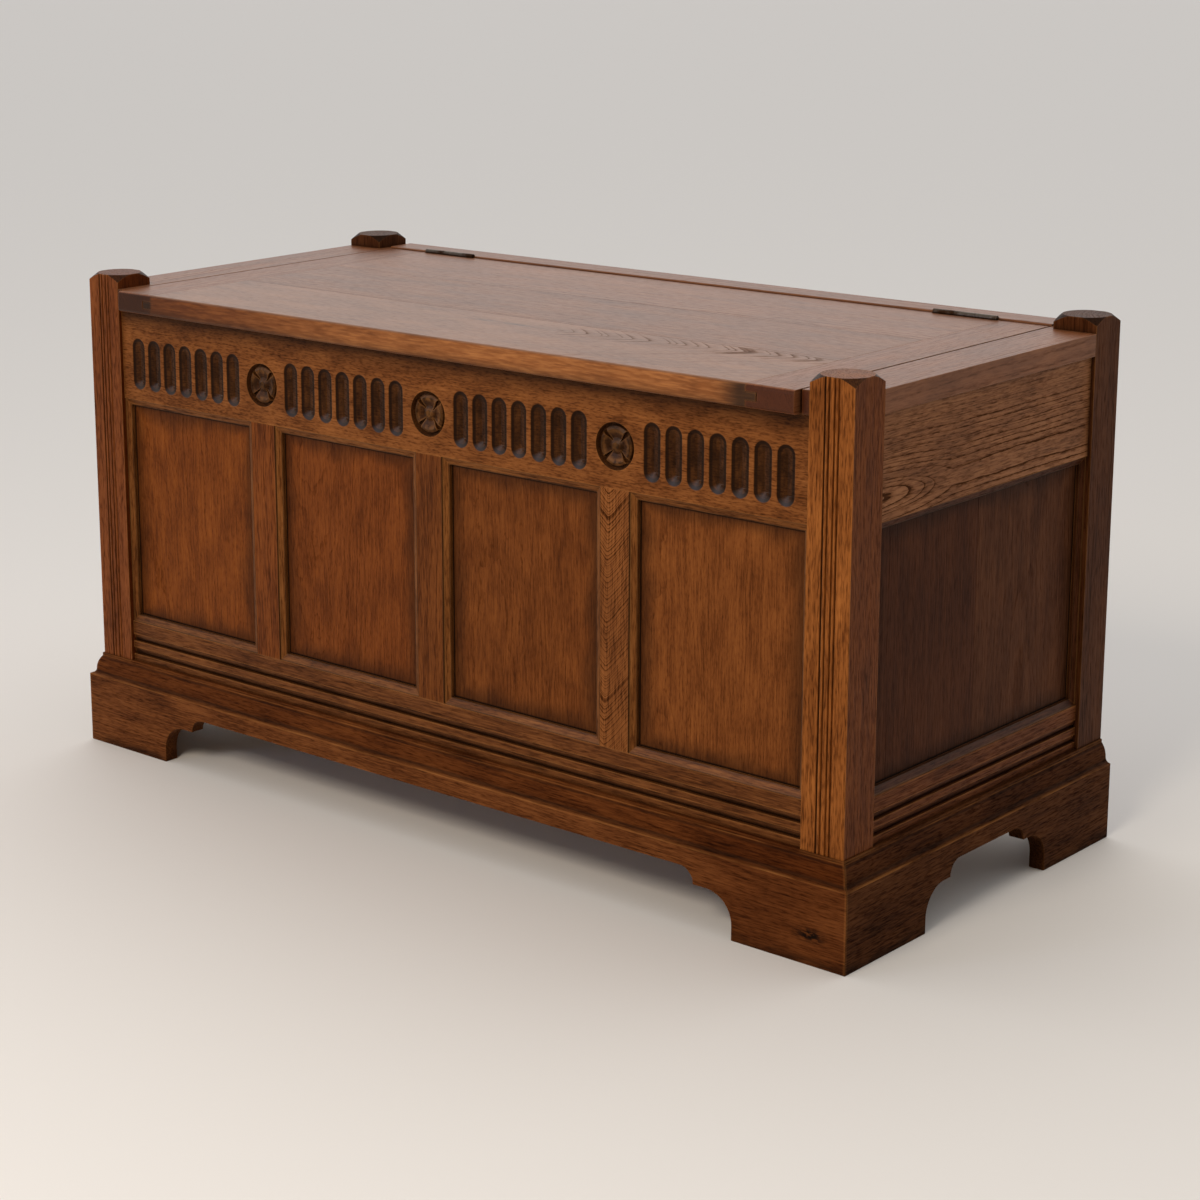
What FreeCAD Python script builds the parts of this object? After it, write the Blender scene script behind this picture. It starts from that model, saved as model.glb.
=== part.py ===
import FreeCAD, Part
import math
import os
import Sketcher

# A joined oak coffer chest, in millimetres.
#
# The frame of the model: X runs along the front from left to right, Y runs
# from front to back, Z is up. The origin is on the floor, at the middle of
# the box that the chest fills.
#
# Four posts carry framed-and-panelled walls. A moulded plinth with bracket
# feet is wrapped round the foot of the posts. A board is fixed along the top
# of each side and along the back. The cleated lid lies between them and
# turns on two butt hinges that are let into the back board.

# ---------------------------------------------------------------------------
# Driving sizes: name, number, what it measures
# ---------------------------------------------------------------------------
SIZES = [
    ("chest_width", 1060.0, "outside of the plinth, left to right"),
    ("chest_depth", 482.0, "front of the plinth to the back of the posts"),
    ("chest_height", 552.0, "floor to the top of the posts"),

    ("post_width", 48.5, "post, seen from the front"),
    ("post_depth", 47.5, "post, seen from the side"),
    ("post_foot", 3.0, "the posts stop this far above the floor"),
    ("cap_margin", 0.25, "cap's flat disc beyond half the post's width"),
    ("cap_slope", 0.79, "fall of the cap's cone for each unit outward"),
    ("reed_middle", 6.0, "wide reed up the middle of a front post"),
    ("reed_outer", 4.5, "narrow reed on each side of it"),
    ("reed_cut", 2.2, "mouth of the V cuts beside the reeds"),
    ("reed_depth", 1.5, "depth of those cuts"),

    ("face_setback", 4.0, "face of the rails behind the face of the posts"),
    ("rail_thickness", 22.0, "rails and muntins, front to back"),
    ("front_rail_height", 101.2, "front top rail, upper to lower edge"),
    ("back_rail_height", 101.5, "back and side top rails, upper to lower edge"),
    ("bottom_rail_rise", 46.5, "upper edge of the bottom rails over the plinth"),
    ("bottom_rail_lap", 22.5, "bottom rails reach this far below the plinth's top"),
    ("muntin_width", 36.0, "upright between two panels"),
    ("panel_thickness", 7.0, "panels and the tenons in line with them"),
    ("panel_setback", 8.0, "face of a panel behind the face of its rail"),
    ("plough_depth", 8.0, "groove round a frame that holds the panel"),
    ("panel_play", 1.0, "edge of a panel to the bottom of its groove"),
    ("panel_slip", 0.15, "side of a panel or tenon to the side of its groove"),
    ("tenon_length", 24.0, "rail tenon, in its post"),
    ("tenon_shoulder", 12.0, "end of a tenon below or above the rail's edge"),
    ("tenon_play", 1.0, "end of a tenon to the bottom of its mortise"),

    ("run_drop", 16.0, "upper edge of a bottom rail to its first moulded run"),
    ("run_pitch", 15.6, "from one moulded run to the next"),
    ("run_height", 7.8, "moulded run, top to bottom"),
    ("run_step", 1.4, "square step at the top of a run"),
    ("run_depth", 4.4, "quirk at the bottom of a run"),

    ("bead_quirk", 1.2, "planted moulding behind the face of its rail"),
    ("bead_width", 7.3, "planted moulding across its face"),
    ("bead_fall", 4.2, "inner edge of the moulding behind the rail's face"),

    ("flute_count", 7.0, "flutes in each group"),
    ("flute_pitch", 25.6, "from one flute to the next"),
    ("flute_width", 21.5, "mouth of a flute"),
    ("flute_height", 59.3, "flute from end to end"),
    ("flute_depth", 3.1, "crease of a flute behind the rail's face"),
    ("carving_rise", 42.0, "middle of the carving over the rail's lower edge"),

    ("roundel_width", 47.0, "carved roundel across its sunk ring"),
    ("ring_depth", 5.0, "floor of the sunk ring"),
    ("ring_wall", 1.4, "slope of the ring's outer wall, seen from the front"),
    ("ring_floor", 1.8, "width of the ring's floor"),
    ("petal_roll", 3.6, "width of the petals' rounded rim"),
    ("petal_shoulder", 0.9, "width of the steep outer part of that rim"),
    ("shoulder_depth", 2.2, "top of that steep part behind the rail's face"),
    ("petal_depth", 0.9, "crest of the petals behind the rail's face"),
    ("petal_dish", 3.4, "lowest part of the petals behind the rail's face"),
    ("boss_width", 7.0, "round boss in the middle"),
    ("boss_foot", 4.6, "width of the slope round the boss, on one side"),
    ("boss_depth", 1.0, "face of the boss behind the rail's face"),
    ("valley_start", 5.0, "point of a cut between petals, from the centre"),
    ("valley_half", 2.7, "half the width of such a cut where it is widest"),
    ("valley_belly", 18.6, "its widest place, from the centre"),

    ("lid_drop", 14.5, "top of the lid below the top of the posts"),
    ("lid_thickness", 23.0, "lid and the fixed boards beside it"),
    ("lid_overhang", 9.0, "front edge of the lid before the posts"),
    ("lid_edge_round", 4.0, "rounding of the lid's front edge"),
    ("lid_end_gap", 2.0, "end of the lid to the fixed side board"),
    ("lid_back_gap", 2.0, "back of the lid to the fixed back board"),
    ("lid_rest_gap", 0.3, "underside of the shut lid over the front rail"),
    ("cleat_width", 54.0, "cross board at each end of the lid"),
    ("tongue_thickness", 8.0, "tongue of the lid boards, in the cleats"),
    ("tongue_length", 12.0, "tongue of the lid boards, in the cleats"),
    ("side_board_nib", 8.3, "side board inside the inner face of the posts"),
    ("back_board_width", 36.0, "fixed board along the back"),
    ("back_board_rise", 2.0, "top of the back board over the lid"),
    ("back_board_round", 2.0, "rounding of its front edge"),

    ("hinge_length", 76.0, "butt hinge, along its pin"),
    ("hinge_inset", 98.0, "end of the lid to the middle of a hinge"),
    ("knuckle_count", 3.0, "knuckles of a hinge, both leaves together"),
    ("knuckle_width", 6.0, "outside of a knuckle"),
    ("knuckle_rise", 1.5, "centre of the pin over the lid's top"),
    ("knuckle_gap", 0.3, "between two knuckles, and round them in the wood"),
    ("pin_width", 3.0, "hinge pin"),
    ("pin_slip", 0.05, "pin to the bore of a knuckle, all round"),
    ("leaf_thickness", 2.0, "leaf of a hinge"),
    ("leaf_drop", 22.0, "lower edge of a leaf below the pin"),
    ("leaf_gap", 0.4, "between the two leaves of the shut hinge"),
    ("leaf_slip", 0.1, "leaf to its recess"),

    ("plinth_height", 105.5, "floor to the top of the plinth moulding"),
    ("plinth_reach", 13.0, "face of the plinth before the posts"),
    ("plinth_fillet_reach", 1.9, "top fillet before the posts"),
    ("plinth_fillet_height", 3.5, "top fillet, up and down"),
    ("plinth_ovolo_reach", 5.4, "rounded member under the fillet, outward"),
    ("plinth_ovolo_height", 15.3, "rounded member, up and down"),
    ("front_foot", 129.5, "bracket foot along the front"),
    ("side_front_foot", 135.0, "front bracket foot along the side"),
    ("side_back_foot", 129.0, "back bracket foot along the side"),
    ("foot_heel", 15.0, "upright edge at the inside of a foot"),
    ("foot_cove", 30.0, "large hollow of a foot"),
    ("front_foot_step", 16.0, "flat between the hollows, front"),
    ("side_foot_step", 12.0, "flat between the hollows, sides"),
    ("foot_small_cove", 16.0, "small hollow of a foot"),

    ("floor_thickness", 10.0, "bottom boards"),
    ("floor_gap", 1.0, "round and between the bottom boards"),
    ("bearer_width", 18.0, "square bearer under the bottom boards"),
    ("bearer_rise", 9.0, "bearer over the lower edge of its rail"),
]

DOCUMENT = FreeCAD.newDocument("coffer_chest")
SHEET = DOCUMENT.addObject("Spreadsheet::Sheet", "Sizes")


# ---------------------------------------------------------------------------
# Sizes that stay tied to the sheet
# ---------------------------------------------------------------------------
class Size:
    """A measure, held as a number and as the sheet formula that gives it."""

    def __init__(self, value, formula):
        self.value = float(value)
        self.formula = formula

    def __add__(self, other):
        return combined(self, "+", other)

    def __radd__(self, other):
        return combined(other, "+", self)

    def __sub__(self, other):
        return combined(self, "-", other)

    def __rsub__(self, other):
        return combined(other, "-", self)

    def __mul__(self, other):
        return combined(self, "*", other)

    def __rmul__(self, other):
        return combined(other, "*", self)

    def __truediv__(self, other):
        return combined(self, "/", other)

    def __neg__(self):
        return combined(-1, "*", self)


def as_size(measure):
    """A bare number becomes a Size whose formula is that number."""
    if isinstance(measure, Size):
        return measure
    return Size(measure, repr(float(measure)))


def combined(left, sign, right):
    """The Size that the two measures make with one of the signs + - * /."""
    left = as_size(left)
    right = as_size(right)
    if sign == "+":
        value = left.value + right.value
    elif sign == "-":
        value = left.value - right.value
    elif sign == "*":
        value = left.value * right.value
    else:
        value = left.value / right.value
    return Size(value, f"({left.formula} {sign} {right.formula})")


def fill_sheet():
    """Writes the sizes to the sheet and returns them by name."""
    sizes = {}
    for row, (name, number, meaning) in enumerate(SIZES, start=1):
        SHEET.set(f"A{row}", name)
        SHEET.set(f"B{row}", str(number))
        SHEET.setAlias(f"B{row}", name)
        SHEET.set(f"C{row}", meaning)
        sizes[name] = Size(number, f"Sizes.{name}")
    DOCUMENT.recompute()
    return sizes


S = fill_sheet()


def bind(thing, prop, measure):
    """Ties one property of an object to a formula of the sheet."""
    thing.setExpression(prop, as_size(measure).formula)


def place(thing, x, y, z, turn=0.0, axis=(0, 0, 1)):
    """Puts an object at a point, turned by an angle in degrees about an axis."""
    rotation = FreeCAD.Rotation(FreeCAD.Vector(*axis), turn)
    thing.Placement = FreeCAD.Placement(FreeCAD.Vector(0, 0, 0), rotation)
    bind(thing, "Placement.Base.x", x)
    bind(thing, "Placement.Base.y", y)
    bind(thing, "Placement.Base.z", z)


# ---------------------------------------------------------------------------
# Sketches and features
# ---------------------------------------------------------------------------
EDGE_PLACES = ("whole edge", "start", "end", "centre")   # in the order that sketches count them


def place_on_edge(name):
    """The number by which a constraint knows a point of a line or arc."""
    return EDGE_PLACES.index(name)


def new_body(label):
    """An empty body under the name that its file will have."""
    body = DOCUMENT.addObject("PartDesign::Body", label)
    body.Label = label
    return body


def origin_part(body, role):
    """One of the body's own origin planes or axes."""
    return next(part for part in body.Origin.OriginFeatures if part.Role == role)


def new_sketch(body, role, name, shift=(0, 0, 0)):
    """A sketch on an origin plane, shifted in the sketch's own directions."""
    sketch = body.newObject("Sketcher::SketchObject", f"{body.Label}_{name}")
    sketch.AttachmentSupport = [(origin_part(body, role), "")]
    sketch.MapMode = "FlatFace"
    for direction, measure in zip("xyz", shift):
        bind(sketch, f"AttachmentOffset.Base.{direction}", measure)
    return sketch


def arc_between(first, last, radius):
    """The arc of under half a turn; a radius over 0 bends to the left."""
    chord = last - first
    middle = (first + last) * 0.5
    rise = math.sqrt(max(radius * radius - (chord.Length / 2) ** 2, 0.0))
    left = FreeCAD.Vector(-chord.y, chord.x, 0).normalize()
    centre = middle + left * math.copysign(rise, radius)
    to_first = first - centre
    to_last = last - centre
    if radius < 0:
        to_first, to_last = to_last, to_first
    circle = Part.Circle(centre, FreeCAD.Vector(0, 0, 1), abs(radius))
    start_angle = math.atan2(to_first.y, to_first.x)
    end_angle = math.atan2(to_last.y, to_last.x)
    return Part.ArcOfCircle(circle, start_angle, end_angle)


def draw_outline(sketch, corners):
    """Adds a closed outline to a sketch and locks it to the sheet.

    A corner is (across, up), or (across, up, radius) when the edge that
    leaves it is an arc of that radius.
    """
    points = [FreeCAD.Vector(as_size(c[0]).value, as_size(c[1]).value, 0) for c in corners]
    first = len(sketch.Geometry)
    edges = []
    for index, corner in enumerate(corners):
        here = points[index]
        there = points[(index + 1) % len(corners)]
        if len(corner) == 3:
            edges.append(arc_between(here, there, as_size(corner[2]).value))
        else:
            edges.append(Part.LineSegment(here, there))
    sketch.addGeometry(edges, False)

    rules = []
    formulas = {}
    already = len(sketch.Constraints)
    for index, corner in enumerate(corners):
        edge = first + index
        following = first + (index + 1) % len(corners)
        bends_right = len(corner) == 3 and as_size(corner[2]).value < 0
        next_corner = corners[(index + 1) % len(corners)]
        next_bends_right = len(next_corner) == 3 and as_size(next_corner[2]).value < 0
        leaving = place_on_edge("end" if bends_right else "start")
        reaching = place_on_edge("start" if bends_right else "end")
        meeting = place_on_edge("end" if next_bends_right else "start")
        rules.append(Sketcher.Constraint("Coincident", edge, reaching, following, meeting))
        for kind, measure in (("DistanceX", corner[0]), ("DistanceY", corner[1])):
            formulas[already + len(rules)] = as_size(measure).formula
            rules.append(Sketcher.Constraint(kind, edge, leaving, as_size(measure).value))
        if len(corner) == 3:
            radius = corner[2] if as_size(corner[2]).value > 0 else -corner[2]
            formulas[already + len(rules)] = as_size(radius).formula
            rules.append(Sketcher.Constraint("Radius", edge, as_size(radius).value))
    sketch.addConstraint(rules)
    for index, formula in formulas.items():
        sketch.setExpression(f"Constraints[{index}]", formula)


def draw_rectangle(sketch, left, right, low, high):
    draw_outline(sketch, [(left, low), (right, low), (right, high), (left, high)])


def draw_circle(sketch, across, up, radius):
    middle = FreeCAD.Vector(as_size(across).value, as_size(up).value, 0)
    circle = Part.Circle(middle, FreeCAD.Vector(0, 0, 1), as_size(radius).value)
    edge = sketch.addGeometry(circle, False)
    for kind, measure in (("DistanceX", across), ("DistanceY", up)):
        measure = as_size(measure)
        rule = sketch.addConstraint(
            Sketcher.Constraint(kind, edge, place_on_edge("centre"), measure.value))
        sketch.setExpression(f"Constraints[{rule}]", measure.formula)
    rule = sketch.addConstraint(Sketcher.Constraint("Radius", edge, as_size(radius).value))
    sketch.setExpression(f"Constraints[{rule}]", as_size(radius).formula)


def new_feature(body, kind, name, sketch, both_ways):
    feature = body.newObject(f"PartDesign::{kind}", f"{body.Label}_{name}")
    feature.Profile = sketch
    if both_ways:
        feature.SideType = "Symmetric"
    body.Tip = feature
    return feature


def add_pad(body, name, sketch, length, both_ways=False):
    """Material from the sketch along its normal, or half each way."""
    pad = new_feature(body, "Pad", name, sketch, both_ways)
    bind(pad, "Length", length)
    return pad


def add_pocket(body, name, sketch, depth, both_ways=False, along_normal=False):
    """A cut from the sketch against its normal, along it, or half each way."""
    pocket = new_feature(body, "Pocket", name, sketch, both_ways)
    pocket.Reversed = along_normal
    bind(pocket, "Length", depth)
    return pocket


def add_turned(body, kind, name, sketch, axis):
    """A full turn of the sketch round its own H_Axis or V_Axis."""
    feature = body.newObject(f"PartDesign::{kind}", f"{body.Label}_{name}")
    feature.Profile = sketch
    feature.ReferenceAxis = (sketch, [axis])
    feature.Angle = 360.0
    body.Tip = feature
    return feature


def add_row(body, name, originals, count, pitch):
    """Repeats features along the body's X axis."""
    row = body.newObject("PartDesign::LinearPattern", f"{body.Label}_{name}")
    row.Originals = originals
    row.Direction = (origin_part(body, "X_Axis"), [""])
    row.Mode = "Spacing"
    bind(row, "Occurrences", count)
    bind(row, "Offset", pitch)
    body.Tip = row
    return row


def add_rows_of_rows(body, name, originals, steps):
    """Repeats features along X, and then each row again; steps are (count, pitch)."""
    whole = body.newObject("PartDesign::MultiTransform", f"{body.Label}_{name}")
    whole.Originals = originals
    rows = []
    for number, (count, pitch) in enumerate(steps, start=1):
        row = body.newObject("PartDesign::LinearPattern", f"{body.Label}_{name}_{number}")
        row.Direction = (origin_part(body, "X_Axis"), [""])
        row.Mode = "Spacing"
        bind(row, "Occurrences", count)
        bind(row, "Offset", pitch)
        rows.append(row)
    whole.Transformations = rows
    body.Tip = whole
    return whole


def add_mirror(body, name, originals):
    """Repeats features on the other side of the body's YZ plane."""
    mirror = body.newObject("PartDesign::Mirrored", f"{body.Label}_{name}")
    mirror.Originals = originals
    mirror.MirrorPlane = (origin_part(body, "YZ_Plane"), [""])
    body.Tip = mirror
    return mirror


def plain_board(label, x, y, z):
    """A square-edged board; x, y and z are each its low and high side."""
    board = DOCUMENT.addObject("Part::Box", label)
    board.Label = label
    bind(board, "Length", x[1] - x[0])
    bind(board, "Width", y[1] - y[0])
    bind(board, "Height", z[1] - z[0])
    place(board, x[0], y[0], z[0])
    return board


# ---------------------------------------------------------------------------
# Places worked out from the driving sizes
# ---------------------------------------------------------------------------
half_width = S["chest_width"] / 2
half_depth = S["chest_depth"] / 2

post_half_width = S["post_width"] / 2
post_half_depth = S["post_depth"] / 2
post_outside = half_width - S["plinth_reach"]
post_inside = post_outside - S["post_width"]
post_front = S["plinth_reach"] - half_depth
post_front_inside = post_front + S["post_depth"]
post_back = half_depth
post_back_inside = post_back - S["post_depth"]

front_face = post_front + S["face_setback"]
back_face = post_back - S["face_setback"]
side_face = post_outside - S["face_setback"]
front_inside = front_face + S["rail_thickness"]
back_inside = back_face - S["rail_thickness"]
side_inside = side_face - S["rail_thickness"]

front_length = post_inside * 2
side_length = post_back_inside - post_front_inside
side_middle = (post_back_inside + post_front_inside) / 2

lid_top = S["chest_height"] - S["lid_drop"]
lid_under = lid_top - S["lid_thickness"]
back_rail_low = lid_under - S["back_rail_height"]
front_rail_low = lid_under - S["lid_rest_gap"] - S["front_rail_height"]
bottom_rail_low = S["plinth_height"] - S["bottom_rail_lap"]
bottom_rail_top = S["plinth_height"] + S["bottom_rail_rise"]
bottom_rail_height = bottom_rail_top - bottom_rail_low
front_opening = front_rail_low - bottom_rail_top
back_opening = back_rail_low - bottom_rail_top

FRONT_MUNTINS = 3
FRONT_BAYS = FRONT_MUNTINS + 1
front_bay = (front_length - S["muntin_width"] * FRONT_MUNTINS) / FRONT_BAYS
bay_pitch = front_bay + S["muntin_width"]
back_bay = (front_length - S["muntin_width"]) / 2

panel_front = S["panel_setback"]
panel_back = S["panel_setback"] + S["panel_thickness"]
plough_front = panel_front - S["panel_slip"]
plough_back = panel_back + S["panel_slip"]
panel_edge = S["plough_depth"] - S["panel_play"]
mortise_depth = S["tenon_length"] + S["tenon_play"]

lid_front = post_front - S["lid_overhang"]
back_board_front = post_back - S["back_board_width"]
lid_back = back_board_front - S["lid_back_gap"]
lid_depth = lid_back - lid_front
side_board_inside = post_inside - S["side_board_nib"]
lid_half_length = side_board_inside - S["lid_end_gap"]
cleat_inside = lid_half_length - S["cleat_width"]

hinge_axis_y = lid_back + S["lid_back_gap"] / 2
hinge_axis_z = lid_top + S["knuckle_rise"]
hinge_x = lid_half_length - S["hinge_inset"]
knuckle_radius = S["knuckle_width"] / 2
knuckle_clear = knuckle_radius + S["knuckle_gap"]

FLOOR_BOARDS = 4

LEFT, RIGHT = -1, 1
FRONT, BACK = -1, 1
SIDES = (("left", LEFT), ("right", RIGHT))
QUARTER_TURN = 90.0
HALF_TURN = 180.0
DIAGONAL = math.sqrt(0.5)   # across and up of a step of one at half a right angle


# ---------------------------------------------------------------------------
# Posts
# ---------------------------------------------------------------------------
def post_section(sketch, end):
    """Square section; four V cuts leave three reeds up a front post's face."""
    corners = [(-post_half_width, -post_half_depth)]
    if end == FRONT:
        inner = S["reed_middle"] / 2
        outer = inner + S["reed_outer"]
        for middle in (-outer, -inner, inner, outer):
            corners.append((middle - S["reed_cut"] / 2, -post_half_depth))
            corners.append((middle, S["reed_depth"] - post_half_depth))
            corners.append((middle + S["reed_cut"] / 2, -post_half_depth))
    corners.append((post_half_width, -post_half_depth))
    corners.append((post_half_width, post_half_depth))
    corners.append((-post_half_width, post_half_depth))
    draw_outline(sketch, corners)


def slot_plan(across_front, side, end, depth):
    """Left, right, front and back of a slot in one of the inner faces of a post.

    across_front is true for the face that the front or back frame meets, and
    false for the face that the side frame meets.
    """
    half_slot = S["panel_thickness"] / 2 + S["panel_slip"]
    line = S["face_setback"] + S["panel_setback"] + S["panel_thickness"] / 2
    if across_front:
        middle = (post_half_depth - line) * end
        return (post_half_width * -side, (post_half_width - depth) * -side,
                middle - half_slot, middle + half_slot)
    middle = (post_half_width - line) * side
    return (middle - half_slot, middle + half_slot,
            post_half_depth * -end, (post_half_depth - depth) * -end)


def cut_joints(body, name, plan_of, rail_low):
    """A mortise for each rail of a frame, and between them the panel's groove."""
    slip = S["panel_slip"]
    top_high = lid_under - S["tenon_shoulder"] + slip
    groove_high = rail_low + S["plough_depth"]
    groove_low = bottom_rail_top - S["plough_depth"]
    bottom_low = bottom_rail_low + S["tenon_shoulder"] - slip
    for joint, top, low, depth in (("top_mortise", top_high, groove_high - slip, mortise_depth),
                                   ("groove", groove_high, groove_low, S["plough_depth"]),
                                   ("low_mortise", groove_low + slip, bottom_low, mortise_depth)):
        sketch = new_sketch(body, "XY_Plane", f"{name}_{joint}_plan", (0, 0, top))
        draw_rectangle(sketch, *plan_of(depth))
        add_pocket(body, f"{name}_{joint}", sketch, top - low)


def build_post(label, side, end):
    """A post stands from just above the floor to its coned cap."""
    body = new_body(label)
    section = new_sketch(body, "XY_Plane", "section", (0, 0, S["post_foot"]))
    post_section(section, end)
    add_pad(body, "shaft", section, S["chest_height"] - S["post_foot"])

    cap_radius = post_half_width + S["cap_margin"]
    beyond_corner = post_half_width + post_half_depth
    cone_fall = (beyond_corner - cap_radius) * S["cap_slope"]
    cap = new_sketch(body, "XZ_Plane", "cap_profile")
    draw_outline(cap, [(cap_radius, S["chest_height"]),
                       (beyond_corner, S["chest_height"] - cone_fall),
                       (beyond_corner, S["chest_height"])])
    add_turned(body, "Groove", "cap", cap, "V_Axis")

    long_rail_low = front_rail_low if end == FRONT else back_rail_low
    cut_joints(body, "long_frame", lambda depth: slot_plan(True, side, end, depth), long_rail_low)
    cut_joints(body, "side_frame", lambda depth: slot_plan(False, side, end, depth), back_rail_low)
    place(body, (post_outside - post_half_width) * side,
          (post_front + post_half_depth) if end == FRONT else (post_back - post_half_depth), 0)
    return body


def build_posts():
    nodes = []
    for side_name, side in SIDES:
        nodes.append(build_post(f"post_front_{side_name}", side, FRONT))
        nodes.append(build_post(f"post_back_{side_name}", side, BACK))
    return nodes


# ---------------------------------------------------------------------------
# Rails: X along the rail, Y from its outer face inward, Z over its lower edge
# ---------------------------------------------------------------------------
def moulded_run(top):
    """Corners of one run cut in a rail's face, going up: quirk, ovolo, step."""
    low = top - S["run_height"]
    reach = S["run_depth"] - S["run_step"]
    radius = (reach * reach + S["run_height"] * S["run_height"]) / (reach * 2)
    return [(0, low), (S["run_depth"], low, -radius), (S["run_step"], top), (0, top)]


def build_rail(label, length, height, groove_up, runs=0):
    """A rail with a tenon at each end and a groove for the panels.

    groove_up is true where the panels stand on the rail, and runs counts
    the moulded runs along its face.
    """
    body = new_body(label)
    thickness = S["rail_thickness"]
    deep = S["plough_depth"]
    face = [(0, 0)]
    for step in reversed(range(runs)):
        face += moulded_run(height - S["run_drop"] - S["run_pitch"] * step)
    face.append((0, height))
    if groove_up:
        corners = face + [(plough_front, height), (plough_front, height - deep),
                          (plough_back, height - deep), (plough_back, height),
                          (thickness, height), (thickness, 0)]
        tenon_low = S["tenon_shoulder"]
        tenon_high = height - deep
    else:
        corners = face + [(thickness, height), (thickness, 0), (plough_back, 0),
                          (plough_back, deep), (plough_front, deep), (plough_front, 0)]
        tenon_low = deep
        tenon_high = height - S["tenon_shoulder"]
    section = new_sketch(body, "YZ_Plane", "section")
    draw_outline(section, corners)
    add_pad(body, "rail", section, length, both_ways=True)
    tenon = new_sketch(body, "YZ_Plane", "tenon_section")
    draw_rectangle(tenon, panel_front, panel_back, tenon_low, tenon_high)
    add_pad(body, "tenons", tenon, length + S["tenon_length"] * 2, both_ways=True)
    return body


# ---------------------------------------------------------------------------
# Carving of the front top rail
# ---------------------------------------------------------------------------
def carve_flutes(body):
    """Four groups of flutes, one group over each panel.

    A flute is a shallow V. Its ends are the cones that the same cutter leaves
    where it goes in and where it is lifted out.
    """
    half_mouth = S["flute_width"] / 2
    depth = S["flute_depth"]
    straight = (S["flute_height"] - S["flute_width"]) / 2
    first_x = -(bay_pitch * (FRONT_BAYS - 1)) / 2 - S["flute_pitch"] * (S["flute_count"] - 1) / 2
    cuts = []
    for name, rise in (("flute_top", straight), ("flute_foot", -straight)):
        profile = new_sketch(body, "YZ_Plane", f"{name}_profile",
                             (0, S["carving_rise"] + rise, first_x))
        draw_outline(profile, [(0, 0), (0, half_mouth), (depth, 0)])
        cuts.append(add_turned(body, "Groove", name, profile, "H_Axis"))
    plan = new_sketch(body, "XY_Plane", "flute_plan", (0, 0, S["carving_rise"] - straight))
    draw_outline(plan, [(first_x - half_mouth, 0), (first_x + half_mouth, 0),
                        (first_x, depth)])
    cuts.append(add_pocket(body, "flute", plan, straight * 2, along_normal=True))
    add_rows_of_rows(body, "flutes", cuts, ((S["flute_count"], S["flute_pitch"]),
                                            (FRONT_BAYS, bay_pitch)))


def carve_roundels(body):
    """A four-petalled roundel in a sunk ring over each muntin."""
    first_x = -(bay_pitch * (FRONT_MUNTINS - 1)) / 2
    outer = S["roundel_width"] / 2
    floor_outer = outer - S["ring_wall"]
    floor_inner = floor_outer - S["ring_floor"]
    crest = floor_inner - S["petal_roll"]
    shoulder = floor_inner - S["petal_shoulder"]
    boss = S["boss_width"] / 2
    dish = boss + S["boss_foot"]

    profile = new_sketch(body, "YZ_Plane", "roundel_profile", (0, S["carving_rise"], first_x))
    draw_outline(profile, [(0, 0), (0, outer), (S["ring_depth"], floor_outer),
                           (S["ring_depth"], floor_inner), (S["shoulder_depth"], shoulder),
                           (S["petal_depth"], crest), (S["petal_dish"], dish),
                           (S["boss_depth"], boss), (S["boss_depth"], 0)])
    ring = add_turned(body, "Groove", "roundel", profile, "H_Axis")

    plan = new_sketch(body, "XZ_Plane", "valley_plan", (first_x, S["carving_rise"], 0))
    tip = (floor_outer + floor_inner) / 2
    for across, up in ((1, 1), (-1, 1), (-1, -1), (1, -1)):
        corners = []
        for out, aside in ((S["valley_start"], 0), (S["valley_belly"], -S["valley_half"]),
                           (tip, 0), (S["valley_belly"], S["valley_half"])):
            corners.append(((out * across - aside * up) * DIAGONAL,
                            (out * up + aside * across) * DIAGONAL))
        draw_outline(plan, corners)
    valleys = add_pocket(body, "valleys", plan, S["ring_depth"])
    add_row(body, "roundels", [ring, valleys], FRONT_MUNTINS, bay_pitch)


def build_front_frame():
    top_rail = build_rail("front_top_rail", front_length, S["front_rail_height"], False)
    carve_flutes(top_rail)
    carve_roundels(top_rail)
    place(top_rail, 0, front_face, front_rail_low)
    bottom_rail = build_rail("front_bottom_rail", front_length, bottom_rail_height, True, 2)
    place(bottom_rail, 0, front_face, bottom_rail_low)
    nodes = [top_rail, bottom_rail]
    for index in range(FRONT_MUNTINS):
        muntin = build_muntin(f"front_muntin_{index + 1}", front_opening)
        place(muntin, bay_pitch * (index - (FRONT_MUNTINS - 1) / 2), front_face, bottom_rail_top)
        nodes.append(muntin)
    for index in range(FRONT_BAYS):
        middle = bay_pitch * (index - (FRONT_BAYS - 1) / 2)
        half_panel = front_bay / 2 + panel_edge
        nodes.append(plain_board(f"front_panel_{index + 1}",
                                 (middle - half_panel, middle + half_panel),
                                 (front_face + panel_front, front_face + panel_back),
                                 (bottom_rail_top - panel_edge, front_rail_low + panel_edge)))
    nodes += build_front_mouldings()
    return nodes


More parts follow.
